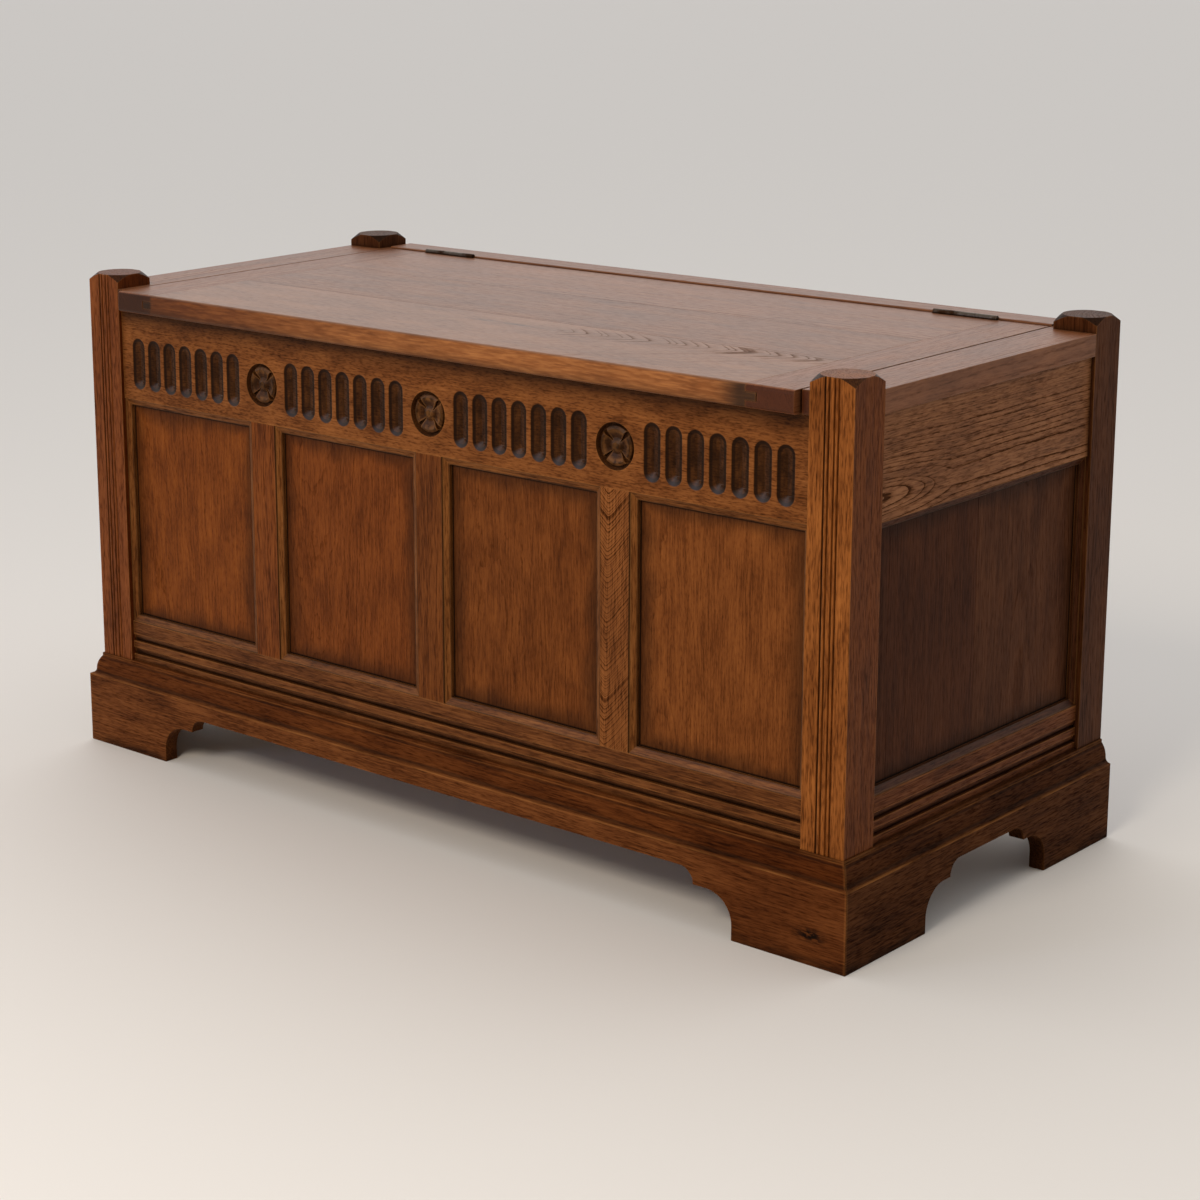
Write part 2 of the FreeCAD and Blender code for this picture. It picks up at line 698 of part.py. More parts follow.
# ---------------------------------------------------------------------------
# Muntins, back frame and side frames
# ---------------------------------------------------------------------------
def build_muntin(label, height):
    """An upright with a groove down each edge and a stub tenon at each end."""
    body = new_body(label)
    half = S["muntin_width"] / 2
    neck = half - S["plough_depth"]
    thickness = S["rail_thickness"]
    section = new_sketch(body, "XY_Plane", "section")
    draw_outline(section, [(-half, 0), (half, 0), (half, plough_front), (neck, plough_front),
                           (neck, plough_back), (half, plough_back), (half, thickness),
                           (-half, thickness), (-half, plough_back), (-neck, plough_back),
                           (-neck, plough_front), (-half, plough_front)])
    add_pad(body, "upright", section, height)
    stub = new_sketch(body, "XY_Plane", "stub_section", (0, 0, -panel_edge))
    draw_rectangle(stub, -neck, neck, panel_front, panel_back)
    add_pad(body, "stubs", stub, height + panel_edge * 2)
    return body


def build_back_frame():
    top_rail = build_rail("back_top_rail", front_length, S["back_rail_height"], False)
    place(top_rail, 0, back_face, back_rail_low, HALF_TURN)
    bottom_rail = build_rail("back_bottom_rail", front_length, bottom_rail_height, True)
    place(bottom_rail, 0, back_face, bottom_rail_low, HALF_TURN)
    muntin = build_muntin("back_muntin", back_opening)
    place(muntin, 0, back_face, bottom_rail_top, HALF_TURN)
    nodes = [top_rail, bottom_rail, muntin]
    for index, side in enumerate((LEFT, RIGHT)):
        middle = (back_bay + S["muntin_width"]) / 2 * side
        half_panel = back_bay / 2 + panel_edge
        nodes.append(plain_board(f"back_panel_{index + 1}",
                                 (middle - half_panel, middle + half_panel),
                                 (back_face - panel_back, back_face - panel_front),
                                 (bottom_rail_top - panel_edge, back_rail_low + panel_edge)))
    return nodes


def build_side_frames():
    nodes = []
    for name, side in SIDES:
        top_rail = build_rail(f"{name}_top_rail", side_length, S["back_rail_height"], False)
        place(top_rail, side_face * side, side_middle, back_rail_low, QUARTER_TURN * side)
        bottom_rail = build_rail(f"{name}_bottom_rail", side_length, bottom_rail_height, True, 2)
        place(bottom_rail, side_face * side, side_middle, bottom_rail_low, QUARTER_TURN * side)
        outer = (side_face - panel_front) * side
        inner = (side_face - panel_back) * side
        low_x, high_x = (inner, outer) if side == RIGHT else (outer, inner)
        panel = plain_board(f"{name}_panel", (low_x, high_x),
                            (post_front_inside - panel_edge, post_back_inside + panel_edge),
                            (bottom_rail_top - panel_edge, back_rail_low + panel_edge))
        moulding = build_moulding(f"{name}_moulding", side_length, back_opening)
        place(moulding, side_face * side, side_middle, bottom_rail_top, QUARTER_TURN * side)
        nodes += [top_rail, bottom_rail, panel, moulding]
    return nodes


# ---------------------------------------------------------------------------
# Planted mouldings: four mitred strips round the face of a panel
# ---------------------------------------------------------------------------
def build_strip(label, length):
    """X along the strip, Y behind the rail's face, Z from the frame inward."""
    body = new_body(label)
    half = length / 2
    wide = S["bead_width"]
    face = new_sketch(body, "XZ_Plane", "face", (0, 0, -S["panel_setback"]))
    draw_outline(face, [(-half, 0), (half, 0), (half - wide, wide), (wide - half, wide)])
    add_pad(body, "strip", face, S["panel_setback"] - S["bead_quirk"])
    bevel = new_sketch(body, "YZ_Plane", "bevel_section")
    draw_outline(bevel, [(S["bead_quirk"], 0), (S["bead_fall"], wide), (S["bead_quirk"], wide)])
    add_pocket(body, "bevel", bevel, length, both_ways=True)
    return body


def build_moulding(label, width, height):
    """The strips are seated on the panel and against the edge of the frame."""
    sills = build_strip(f"{label}_low", width)
    jambs = build_strip(f"{label}_left", height)
    place(jambs, -width / 2, 0, height / 2, QUARTER_TURN, (0, 1, 0))
    strips = [sills, jambs]
    for name, source, x, z, turn in (("high", sills, 0, height, HALF_TURN),
                                     ("right", jambs, width / 2, height / 2, -QUARTER_TURN)):
        copy = DOCUMENT.addObject("App::Link", f"{label}_{name}")
        copy.LinkedObject = source
        copy.LinkTransform = False
        place(copy, x, 0, z, turn, (0, 1, 0))
        strips.append(copy)
    node = DOCUMENT.addObject("Part::Compound", label)
    node.Label = label
    node.Links = strips
    return node


def build_front_mouldings():
    nodes = []
    for index in range(FRONT_BAYS):
        moulding = build_moulding(f"front_moulding_{index + 1}", front_bay, front_opening)
        middle = bay_pitch * (index - (FRONT_BAYS - 1) / 2)
        place(moulding, middle, front_face, bottom_rail_top)
        nodes.append(moulding)
    return nodes


# ---------------------------------------------------------------------------
# Plinth: X along the board, Y inward from the posts' face, Z over the floor
# ---------------------------------------------------------------------------
def foot_outline(left, right, step):
    """The void between two bracket feet: heel, large cove, step, small cove."""
    heel = S["foot_heel"]
    cove = S["foot_cove"]
    small = S["foot_small_cove"]
    ledge = heel + cove
    arch = ledge + small
    return [(left, 0), (left, heel, -cove), (left + cove, ledge),
            (left + cove + step, ledge, -small), (left + cove + step + small, arch),
            (right - cove - step - small, arch, -small), (right - cove - step, ledge),
            (right - cove, ledge, -cove), (right, heel), (right, 0)]


def build_plinth(label, length, backing, feet, step, mitred_ends):
    """A moulded board, mitred at the front corners and cut out into feet.

    backing and feet are (left, right) places along the board: where it is
    thickened to meet the rail between the posts, and where the feet end.
    """
    body = new_body(label)
    reach = S["plinth_reach"]
    top = S["plinth_height"]
    fillet = S["plinth_fillet_reach"]
    ovolo_reach = S["plinth_ovolo_reach"]
    ovolo_height = S["plinth_ovolo_height"]
    ovolo_radius = (ovolo_reach * ovolo_reach + ovolo_height * ovolo_height) / (ovolo_reach * 2)
    ovolo_top = top - S["plinth_fillet_height"]
    cove_top = ovolo_top - ovolo_height
    cove_radius = reach - fillet - ovolo_reach
    section = new_sketch(body, "YZ_Plane", "section")
    draw_outline(section, [(0, 0), (0, top), (-fillet, top), (-fillet, ovolo_top, ovolo_radius),
                           (-fillet - ovolo_reach, cove_top, -cove_radius),
                           (-reach, cove_top - cove_radius), (-reach, 0)])
    add_pad(body, "board", section, length, both_ways=True)

    plan = new_sketch(body, "XY_Plane", "backing_plan")
    draw_rectangle(plan, backing[0], backing[1], 0, S["face_setback"])
    add_pad(body, "backing", plan, top)

    mitres = new_sketch(body, "XY_Plane", "mitre_plan", (0, 0, top))
    for end in mitred_ends:
        draw_outline(mitres, [(length / 2 * end, -reach), (length / 2 * end, 0),
                              ((length / 2 - reach) * end, 0)])
    add_pocket(body, "mitres", mitres, top)

    outline = new_sketch(body, "XZ_Plane", "foot_outline")
    draw_outline(outline, foot_outline(feet[0], feet[1], step))
    add_pocket(body, "feet", outline, (reach + S["face_setback"]) * 2, both_ways=True)
    return body


def build_plinths():
    front = build_plinth("plinth_front", S["chest_width"], (-post_inside, post_inside),
                         (S["front_foot"] - half_width, half_width - S["front_foot"]),
                         S["front_foot_step"], (LEFT, RIGHT))
    place(front, 0, post_front, 0)
    nodes = [front]
    foot_front = S["side_front_foot"] - half_depth
    foot_back = half_depth - S["side_back_foot"]
    for name, side in SIDES:
        if side == RIGHT:
            backing = (post_front_inside, post_back_inside)
            feet = (foot_front, foot_back)
        else:
            backing = (-post_back_inside, -post_front_inside)
            feet = (-foot_back, -foot_front)
        board = build_plinth(f"plinth_{name}", S["chest_depth"], backing, feet,
                             S["side_foot_step"], (-side,))
        place(board, post_outside * side, 0, 0, QUARTER_TURN * side)
        nodes.append(board)
    return nodes


# ---------------------------------------------------------------------------
# Bottom of the chest
# ---------------------------------------------------------------------------
def build_floor():
    """Boards laid from front to back on two bearers, let in round the posts."""
    gap = S["floor_gap"]
    bearer_low = bottom_rail_low + S["bearer_rise"]
    floor_low = bearer_low + S["bearer_width"]
    bearer_half = post_inside - gap
    nodes = [plain_board("bottom_bearer_front", (-bearer_half, bearer_half),
                         (front_inside, front_inside + S["bearer_width"]),
                         (bearer_low, floor_low)),
             plain_board("bottom_bearer_back", (-bearer_half, bearer_half),
                         (back_inside - S["bearer_width"], back_inside),
                         (bearer_low, floor_low))]
    board_pitch = side_inside * 2 / FLOOR_BOARDS
    front = front_inside + gap
    back = back_inside - gap
    notch_front = post_front_inside + gap
    notch_back = post_back_inside - gap
    for index in range(FLOOR_BOARDS):
        left = board_pitch * (index - FLOOR_BOARDS / 2) + gap / 2
        right = board_pitch * (index + 1 - FLOOR_BOARDS / 2) - gap / 2
        corners = [(left, front), (right, front), (right, back), (left, back)]
        if index == 0:
            notch = gap - post_inside
            corners = [(notch, front), (right, front), (right, back), (notch, back),
                       (notch, notch_back), (left, notch_back),
                       (left, notch_front), (notch, notch_front)]
        elif index == FLOOR_BOARDS - 1:
            notch = post_inside - gap
            corners = [(left, front), (notch, front), (notch, notch_front),
                       (right, notch_front), (right, notch_back), (notch, notch_back),
                       (notch, back), (left, back)]
        board = new_body(f"bottom_board_{index + 1}")
        plan = new_sketch(board, "XY_Plane", "plan")
        draw_outline(plan, corners)
        add_pad(board, "board", plan, S["floor_thickness"])
        place(board, 0, 0, floor_low)
        nodes.append(board)
    return nodes


# ---------------------------------------------------------------------------
# Hinges: X along the pin, Y and Z from the middle of the pin
# ---------------------------------------------------------------------------
def knuckle_centres(owner):
    """Places of a leaf's own knuckles along the pin, and their pitch."""
    pitch = S["hinge_length"] / S["knuckle_count"]
    first = -S["hinge_length"] / 2 + pitch / 2
    total = int(S["knuckle_count"].value)
    return [first + pitch * step for step in range(total) if step % 2 == owner], pitch


def cut_hinge_seat(body, x, axis_y, axis_z, away):
    """Recess for a leaf and channel for the knuckles, at both hinges.

    away is +1 where the wood lies behind the pin and -1 where it lies before it.
    """
    face = S["leaf_gap"] / 2 + S["leaf_thickness"] + S["leaf_slip"]
    long = S["hinge_length"] + S["knuckle_gap"] * 2
    recess = new_sketch(body, "YZ_Plane", "leaf_section", (0, 0, x))
    draw_rectangle(recess, axis_y, axis_y + face * away,
                   axis_z - S["leaf_drop"] - S["leaf_slip"], axis_z)
    leaf = add_pocket(body, "leaf_recess", recess, long, both_ways=True)
    channel = new_sketch(body, "YZ_Plane", "knuckle_section", (0, 0, x))
    draw_circle(channel, axis_y, axis_z, knuckle_clear)
    knuckle = add_pocket(body, "knuckle_channel", channel, long, both_ways=True)
    add_mirror(body, "other_hinge", [leaf, knuckle])


def build_leaf(label, owner, away):
    """One leaf: a plate that reaches up to its own knuckles round the pin."""
    body = new_body(label)
    half = S["hinge_length"] / 2
    centres, pitch = knuckle_centres(owner)
    knuckle_length = pitch - S["knuckle_gap"]
    near = S["leaf_gap"] / 2
    shift = -near - S["leaf_thickness"] if away > 0 else near
    plate = new_sketch(body, "XZ_Plane", "plate_outline", (0, 0, shift))
    corners = [(-half, -S["leaf_drop"]), (half, -S["leaf_drop"]), (half, -knuckle_clear)]
    for centre in reversed(centres):
        right = centre + knuckle_length / 2
        left = centre - knuckle_length / 2
        corners += [(right, -knuckle_clear), (right, 0), (left, 0), (left, -knuckle_clear)]
    corners.append((-half, -knuckle_clear))
    draw_outline(plate, corners)
    add_pad(body, "plate", plate, S["leaf_thickness"])

    barrel = new_sketch(body, "YZ_Plane", "knuckle_section", (0, 0, centres[0]))
    draw_circle(barrel, 0, 0, knuckle_radius)
    knuckle = add_pad(body, "knuckle", barrel, knuckle_length, both_ways=True)
    add_row(body, "knuckles", [knuckle], len(centres), pitch * 2)
    bore = new_sketch(body, "YZ_Plane", "bore_section")
    draw_circle(bore, 0, 0, S["pin_width"] / 2 + S["pin_slip"])
    add_pocket(body, "bore", bore, S["hinge_length"] * 2, both_ways=True)
    return body


def build_hinges():
    nodes = []
    for name, side in SIDES:
        for leaf_name, owner, away in (("fixed", 0, BACK), ("lid", 1, FRONT)):
            leaf = build_leaf(f"hinge_{leaf_name}_leaf_{name}", owner, away)
            place(leaf, hinge_x * side, hinge_axis_y, hinge_axis_z)
            nodes.append(leaf)
        pin = DOCUMENT.addObject("Part::Cylinder", f"hinge_pin_{name}")
        pin.Label = f"hinge_pin_{name}"
        bind(pin, "Radius", S["pin_width"] / 2)
        bind(pin, "Height", S["hinge_length"])
        place(pin, hinge_x * side - S["hinge_length"] / 2, hinge_axis_y, hinge_axis_z,
              QUARTER_TURN, (0, 1, 0))
        nodes.append(pin)
    return nodes


# ---------------------------------------------------------------------------
# Fixed boards on the top edge
# ---------------------------------------------------------------------------
def build_side_boards():
    """Each side board lies on its rail and is let in round both posts."""
    nodes = []
    for name, side in SIDES:
        board = new_body(f"{name}_top_board")
        outside = post_outside * side
        inside = side_board_inside * side
        neck = post_inside * side
        plan = new_sketch(board, "XY_Plane", "plan")
        draw_outline(plan, [(inside, post_front), (neck, post_front),
                            (neck, post_front_inside), (outside, post_front_inside),
                            (outside, post_back_inside), (neck, post_back_inside),
                            (neck, post_back), (inside, post_back)])
        add_pad(board, "board", plan, S["lid_thickness"])
        place(board, 0, 0, lid_under)
        nodes.append(board)
    return nodes


def rounded_section(depth, height, radius, low_too):
    """Section of a board with its front edge rounded above, or on both sides."""
    front = [(0, height - radius, -radius), (radius, height)]
    if low_too:
        return [(radius, 0, -radius), (0, radius)] + front + [(depth, height), (depth, 0)]
    return [(0, 0)] + front + [(depth, height), (depth, 0)]


def build_back_board():
    """The back board carries the fixed leaves and stands a little over the lid."""
    board = new_body("back_top_board")
    height = S["lid_thickness"] + S["back_board_rise"]
    section = new_sketch(board, "YZ_Plane", "section")
    draw_outline(section, rounded_section(S["back_board_width"], height,
                                          S["back_board_round"], False))
    add_pad(board, "board", section, side_board_inside * 2, both_ways=True)
    cut_hinge_seat(board, hinge_x, hinge_axis_y - back_board_front,
                   hinge_axis_z - lid_under, BACK)
    place(board, 0, back_board_front, lid_under)
    return [board]


# ---------------------------------------------------------------------------
# Lid: boards along the chest, held at each end by a cleat
# ---------------------------------------------------------------------------
LID_BOARDS = 3


def build_lid_boards():
    nodes = []
    board_depth = lid_depth / LID_BOARDS
    thickness = S["lid_thickness"]
    middle = thickness / 2
    half_tongue = S["tongue_thickness"] / 2
    for index in range(LID_BOARDS):
        board = new_body(f"lid_board_{index + 1}")
        section = new_sketch(board, "YZ_Plane", "section")
        if index == 0:
            draw_outline(section, rounded_section(board_depth, thickness,
                                                  S["lid_edge_round"], True))
        else:
            draw_rectangle(section, 0, board_depth, 0, thickness)
        add_pad(board, "board", section, cleat_inside * 2, both_ways=True)
        tongue = new_sketch(board, "YZ_Plane", "tongue_section")
        draw_rectangle(tongue, 0, board_depth, middle - half_tongue, middle + half_tongue)
        add_pad(board, "tongues", tongue, (cleat_inside + S["tongue_length"]) * 2,
                both_ways=True)
        board_front = lid_front + board_depth * index
        if index == LID_BOARDS - 1:
            cut_hinge_seat(board, hinge_x, hinge_axis_y - board_front,
                           hinge_axis_z - lid_under, FRONT)
        place(board, 0, board_front, lid_under)
        nodes.append(board)
    return nodes


def build_cleats():
    """A cleat is as deep as the lid and grooved for the boards' tongues."""
    nodes = []
    thickness = S["lid_thickness"]
    half_groove = S["tongue_thickness"] / 2 + S["panel_slip"]
    groove_depth = S["tongue_length"] + S["panel_play"]
    for name, side in SIDES:
        cleat = new_body(f"lid_cleat_{name}")
        half = S["cleat_width"] / 2
        section = new_sketch(cleat, "YZ_Plane", "section")
        draw_outline(section, rounded_section(lid_depth, thickness, S["lid_edge_round"], True))
        add_pad(cleat, "cleat", section, S["cleat_width"], both_ways=True)
        groove = new_sketch(cleat, "XZ_Plane", "groove_section")
        draw_rectangle(groove, half * -side, (half - groove_depth) * -side,
                       thickness / 2 - half_groove, thickness / 2 + half_groove)
        add_pocket(cleat, "groove", groove, lid_depth)
        place(cleat, (lid_half_length - half) * side, lid_front, lid_under)
        nodes.append(cleat)
    return nodes


# ---------------------------------------------------------------------------
# Checks and files
# ---------------------------------------------------------------------------
ADDING = ("PartDesign::Pad", "PartDesign::Revolution")
CUTTING = ("PartDesign::Pocket", "PartDesign::Groove")
LEAST_CHANGE = 0.01   # cubic millimetres


def check_features():
    """Every object is sound, and each feature adds or cuts as it should."""
    for thing in DOCUMENT.Objects:
        if "Invalid" in thing.State or "Error" in thing.State:
            raise RuntimeError(f"{thing.Name} failed: {thing.State}")
        if thing.TypeId not in ADDING + CUTTING or thing.BaseFeature is None:
            continue
        change = thing.Shape.Volume - thing.BaseFeature.Shape.Volume
        if thing.TypeId in CUTTING:
            change = -change
        if change < LEAST_CHANGE:
            raise RuntimeError(f"{thing.Name} leaves the solid as it was")


def write_nodes(nodes):
    """Writes each sub-part to the file that carries its name."""
    os.makedirs("parts", exist_ok=True)
    for node in nodes:
        shape = node.Shape
        if shape.isNull() or not shape.isValid():
            raise RuntimeError(f"{node.Label} has no valid shape")
        shape.exportStep(f"parts/{node.Label}.step")
        box = shape.BoundBox
        print(f"{node.Label}: {len(shape.Solids)} solid(s), "
              f"{box.XLength:.1f} x {box.YLength:.1f} x {box.ZLength:.1f}")


def build_chest():
    nodes = build_posts()
    nodes += build_front_frame()
    nodes += build_side_frames()
    nodes += build_back_frame()
    nodes += build_side_boards()
    nodes += build_back_board()
    nodes += build_lid_boards()
    nodes += build_cleats()
    nodes += build_plinths()
    nodes += build_floor()
    nodes += build_hinges()
    DOCUMENT.recompute()
    check_features()
    write_nodes(nodes)
    print(f"{len(nodes)} nodes")


build_chest()
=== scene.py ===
# %% [markdown]
# # A carved oak coffer chest
#
# The chest is joined from oak boards: four posts, framed panels, a carved top rail, a moulded
# plinth with bracket feet, and a cleated lid on two butt hinges. The solids come from the CAD
# model, which is loaded as a fixed frame. This lesson gives them their wood, stain and wax, eases
# their edges, and adds the hinge screws. All lengths are in metres, in the CAD frame: X along the
# front, Y from front to back, Z up, with the origin on the floor under the middle of the chest.

# %% Load the frame
import math
import random

import bmesh
import bpy
from mathutils import Matrix, Vector


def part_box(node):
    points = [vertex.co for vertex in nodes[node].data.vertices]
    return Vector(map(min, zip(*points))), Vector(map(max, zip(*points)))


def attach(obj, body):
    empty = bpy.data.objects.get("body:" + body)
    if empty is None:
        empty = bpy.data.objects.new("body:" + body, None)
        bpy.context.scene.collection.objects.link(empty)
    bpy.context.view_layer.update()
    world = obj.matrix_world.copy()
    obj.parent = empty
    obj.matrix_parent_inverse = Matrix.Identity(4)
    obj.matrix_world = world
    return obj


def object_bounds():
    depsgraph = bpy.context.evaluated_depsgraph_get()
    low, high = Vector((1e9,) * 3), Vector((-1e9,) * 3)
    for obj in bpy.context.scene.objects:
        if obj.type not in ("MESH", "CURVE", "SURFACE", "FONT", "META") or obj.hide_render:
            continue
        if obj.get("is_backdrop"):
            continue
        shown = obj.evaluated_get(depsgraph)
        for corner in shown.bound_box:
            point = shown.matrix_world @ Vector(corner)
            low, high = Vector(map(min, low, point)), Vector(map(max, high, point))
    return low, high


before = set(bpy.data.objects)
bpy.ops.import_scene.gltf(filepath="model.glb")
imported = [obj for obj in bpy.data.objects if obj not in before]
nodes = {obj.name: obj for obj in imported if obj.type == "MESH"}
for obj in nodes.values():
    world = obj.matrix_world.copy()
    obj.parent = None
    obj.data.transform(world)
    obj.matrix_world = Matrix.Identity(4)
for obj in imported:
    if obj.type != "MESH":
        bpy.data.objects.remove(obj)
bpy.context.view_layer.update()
MM = 0.001

# %% [markdown]
# ## Two helpers
#
# Colours are picked as sRGB hex values, as a paint chart gives them, but a shader works with
# linear light. One function makes the change. A second one adds a shader node, sets its options
# and feeds its sockets, either with a plain value or with a link from another node. That is all
# that is needed to write a material down as text.


# %% Colour and node helpers
def linear(hex_colour):
    """An sRGB hex colour such as 7A4522 as linear red, green, blue and alpha."""
    channels = []
    for start in (0, 2, 4):
        value = int(hex_colour[start:start + 2], 16) / 255
        if value <= 0.04045:
            channels.append(value / 12.92)
        else:
            channels.append(((value + 0.055) / 1.055) ** 2.4)
    return (*channels, 1.0)


def add_node(tree, kind, feeds=None, **settings):
    """Adds a shader node; feeds gives its sockets a value or a link."""
    made = tree.nodes.new(kind)
    for name, value in settings.items():
        setattr(made, name, value)
    for socket, source in (feeds or {}).items():
        if isinstance(source, bpy.types.NodeSocket):
            tree.links.new(source, made.inputs[socket])
        else:
            made.inputs[socket].default_value = source
    return made


print("oak brown in linear light:", [round(v, 3) for v in linear("7A4522")])

# %% [markdown]
# ## Camera
#
# The chest is seen from its right front, from a little above, with a long lens, so that its
# edges stay nearly parallel. The direction is built from three angles: how far the camera has
# gone round, how far it looks down, and a very small roll. The image is taken as 1200 x 1200.

# %% Camera
IMAGE_SIDE = 1200
FOCAL_PIXELS = 2674.6
CENTRE_PIXEL = (456.19, 503.32)
SENSOR_MM = 36.0
CAMERA_PLACE = Vector((1.81240, -2.16284, 0.99072))
ROUND_ANGLE = 0.7412
DOWN_ANGLE = 0.2327
ROLL_ANGLE = -0.0099

camera_data = bpy.data.cameras.new("camera")
camera_data.sensor_width = SENSOR_MM
camera_data.lens = FOCAL_PIXELS / IMAGE_SIDE * SENSOR_MM
camera_data.shift_x = 0.5 - CENTRE_PIXEL[0] / IMAGE_SIDE
camera_data.shift_y = CENTRE_PIXEL[1] / IMAGE_SIDE - 0.5
camera = bpy.data.objects.new("camera", camera_data)
turn = (Matrix.Rotation(ROUND_ANGLE, 4, "Z")
        @ Matrix.Rotation(math.pi / 2 - DOWN_ANGLE, 4, "X")
        @ Matrix.Rotation(ROLL_ANGLE, 4, "Z"))
camera.matrix_world = Matrix.Translation(CAMERA_PLACE) @ turn
bpy.context.collection.objects.link(camera)
bpy.context.scene.camera = camera
print(f"lens {camera_data.lens:.1f} mm, shift {camera_data.shift_x:.3f}, {camera_data.shift_y:.3f}")

# %% [markdown]
# ## Floor and surroundings
#
# The chest stands on a plain pale floor. Matt paint scatters light evenly, so the floor shows
# soft shadows and no reflections. The surroundings are brighter behind the chest and darker to
# its right, as in a room with one light wall. That matters more than it seems: at a low angle
# the waxed lid mirrors the light wall, which turns its brown to a pale pinkish grey, and the
# right end stays deep brown. A gradient on the world's background does this without a wall.

# %% Floor and surroundings
scene = bpy.context.scene
scene.view_settings.view_transform = "Standard"

FLOOR_HALF = 45.0
floor_mesh = bpy.data.meshes.new("floor")
floor_mesh.from_pydata([(-FLOOR_HALF, -FLOOR_HALF, 0), (FLOOR_HALF, -FLOOR_HALF, 0),
                        (FLOOR_HALF, FLOOR_HALF, 0), (-FLOOR_HALF, FLOOR_HALF, 0)],
                       [], [(0, 1, 2, 3)])
floor = bpy.data.objects.new("floor", floor_mesh)
bpy.context.collection.objects.link(floor)
floor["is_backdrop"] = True
floor_paint = bpy.data.materials.new("matt_floor_paint")
floor_paint.use_nodes = True
floor_shader = floor_paint.node_tree.nodes["Principled BSDF"]
floor_shader.inputs["Base Color"].default_value = linear("E8E6E3")
floor_shader.inputs["Roughness"].default_value = 0.8
floor_mesh.materials.append(floor_paint)

LIGHT_WALL = (-0.60, 0.76, 0.24)   # the direction in which the light wall stands
DARK_SIDE, LIGHT_SIDE = 0.08, 1.4  # how bright the surroundings are away from it and at it
DARK_FROM = -0.65                  # the cosine beyond which they get no darker
world = bpy.data.worlds.new("studio")
world.use_nodes = True
sky_tree = world.node_tree
sky = sky_tree.nodes["Background"]
sky.inputs["Color"].default_value = linear("F7F4F2")
towards = add_node(sky_tree, "ShaderNodeVectorMath",
                   {0: add_node(sky_tree, "ShaderNodeTexCoord").outputs["Generated"],
                    1: LIGHT_WALL}, operation="DOT_PRODUCT").outputs["Value"]
strength = add_node(sky_tree, "ShaderNodeMapRange",
                    {"Value": towards, "From Min": DARK_FROM, "From Max": 1.0,
                     "To Min": DARK_SIDE, "To Max": LIGHT_SIDE}).outputs[0]
sky_tree.links.new(strength, sky.inputs["Strength"])
scene.world = world
print("floor and surroundings, with the light wall towards", LIGHT_WALL)

# %% [markdown]
# ## Lamps
#
# Two flat lamps give soft shadows with a direction. A broad warm one in front and above gives
# the front its colour, and a smaller cool one at the left draws the small highlights in the
# carving. Sunlight or point lamps would draw hard edges that hide the shallow carving.


# %% Two lamps
def add_lamp(name, place, aim, width, height, power, colour):
    """A flat lamp of a given size that points at a spot."""
    data = bpy.data.lights.new(name, "AREA")
    data.shape = "RECTANGLE"
    data.size = width
    data.size_y = height
    data.energy = power
    data.color = linear(colour)[:3]
    lamp = bpy.data.objects.new(name, data)
    lamp.location = place
    lamp.rotation_euler = (Vector(aim) - Vector(place)).to_track_quat("-Z", "Y").to_euler()
    bpy.context.collection.objects.link(lamp)
    distance = (Vector(aim) - Vector(place)).length
    print(f"{name}: {power:.0f} W at {distance:.1f} m")


add_lamp("front_lamp", (0.6, -3.0, 2.5), (0, -0.2, 0.3), 1.4, 1.0, 62.0, "FFF0DC")
add_lamp("window_lamp", (-1.35, -3.1, 1.05), (0, -0.2, 0.4), 0.7, 0.9, 10.0, "D0DCFF")

# %% [markdown]
# ## Eased edges
#
# A plane and some sandpaper take the sharp edge off every board, and years of hands and dusters
# do the rest. A sharp edge in a render never catches the light. The solids' own points stay
# where they are, so each node gets modifiers: one welds the corners that the file holds twice,
# one joins the triangles of each flat face, one rounds the edges, and the last keeps the flat
# faces flat to the eye. The carved rail, the moulded rails, the front and end panels and the
# strips round them keep their crisp tool edges.

# %% Round the edges of the boards
EASING = {"lid": 0.35 * MM, "left_top_board": 0.6 * MM, "right_top_board": 0.6 * MM,
          "back_top_board": 0.6 * MM, "post": 0.9 * MM, "plinth": 0.7 * MM,
          "left_top_rail": 0.7 * MM, "right_top_rail": 0.7 * MM,
          "front_muntin": 0.6 * MM, "back_muntin": 0.6 * MM, "back": 0.8 * MM, "bottom": 0.8 * MM,
          "hinge": 0.25 * MM}      # how far, by how a node's name starts
EASED_ANGLE = math.radians(58)     # edges sharper than this are rounded
FLAT_ANGLE = math.radians(0.6)     # triangles within this make one flat face


def ease_edges(piece, width):
    weld = piece.modifiers.new("weld", "WELD")
    weld.merge_threshold = 0.01 * MM
    flats = piece.modifiers.new("flats", "DECIMATE")
    flats.decimate_type = "DISSOLVE"
    flats.angle_limit = FLAT_ANGLE
    rounding = piece.modifiers.new("rounding", "BEVEL")
    rounding.width = width
    rounding.segments = 2
    rounding.limit_method = "ANGLE"
    rounding.angle_limit = EASED_ANGLE
    rounding.harden_normals = False
    shading = piece.modifiers.new("shading", "WEIGHTED_NORMAL")
    shading.keep_sharp = True


eased = 0
for name in sorted(nodes):
    for beginning, width in EASING.items():
        if name.startswith(beginning):
            ease_edges(nodes[name], width)
            eased += 1
            break
print(f"{eased} of {len(nodes)} nodes have eased edges")

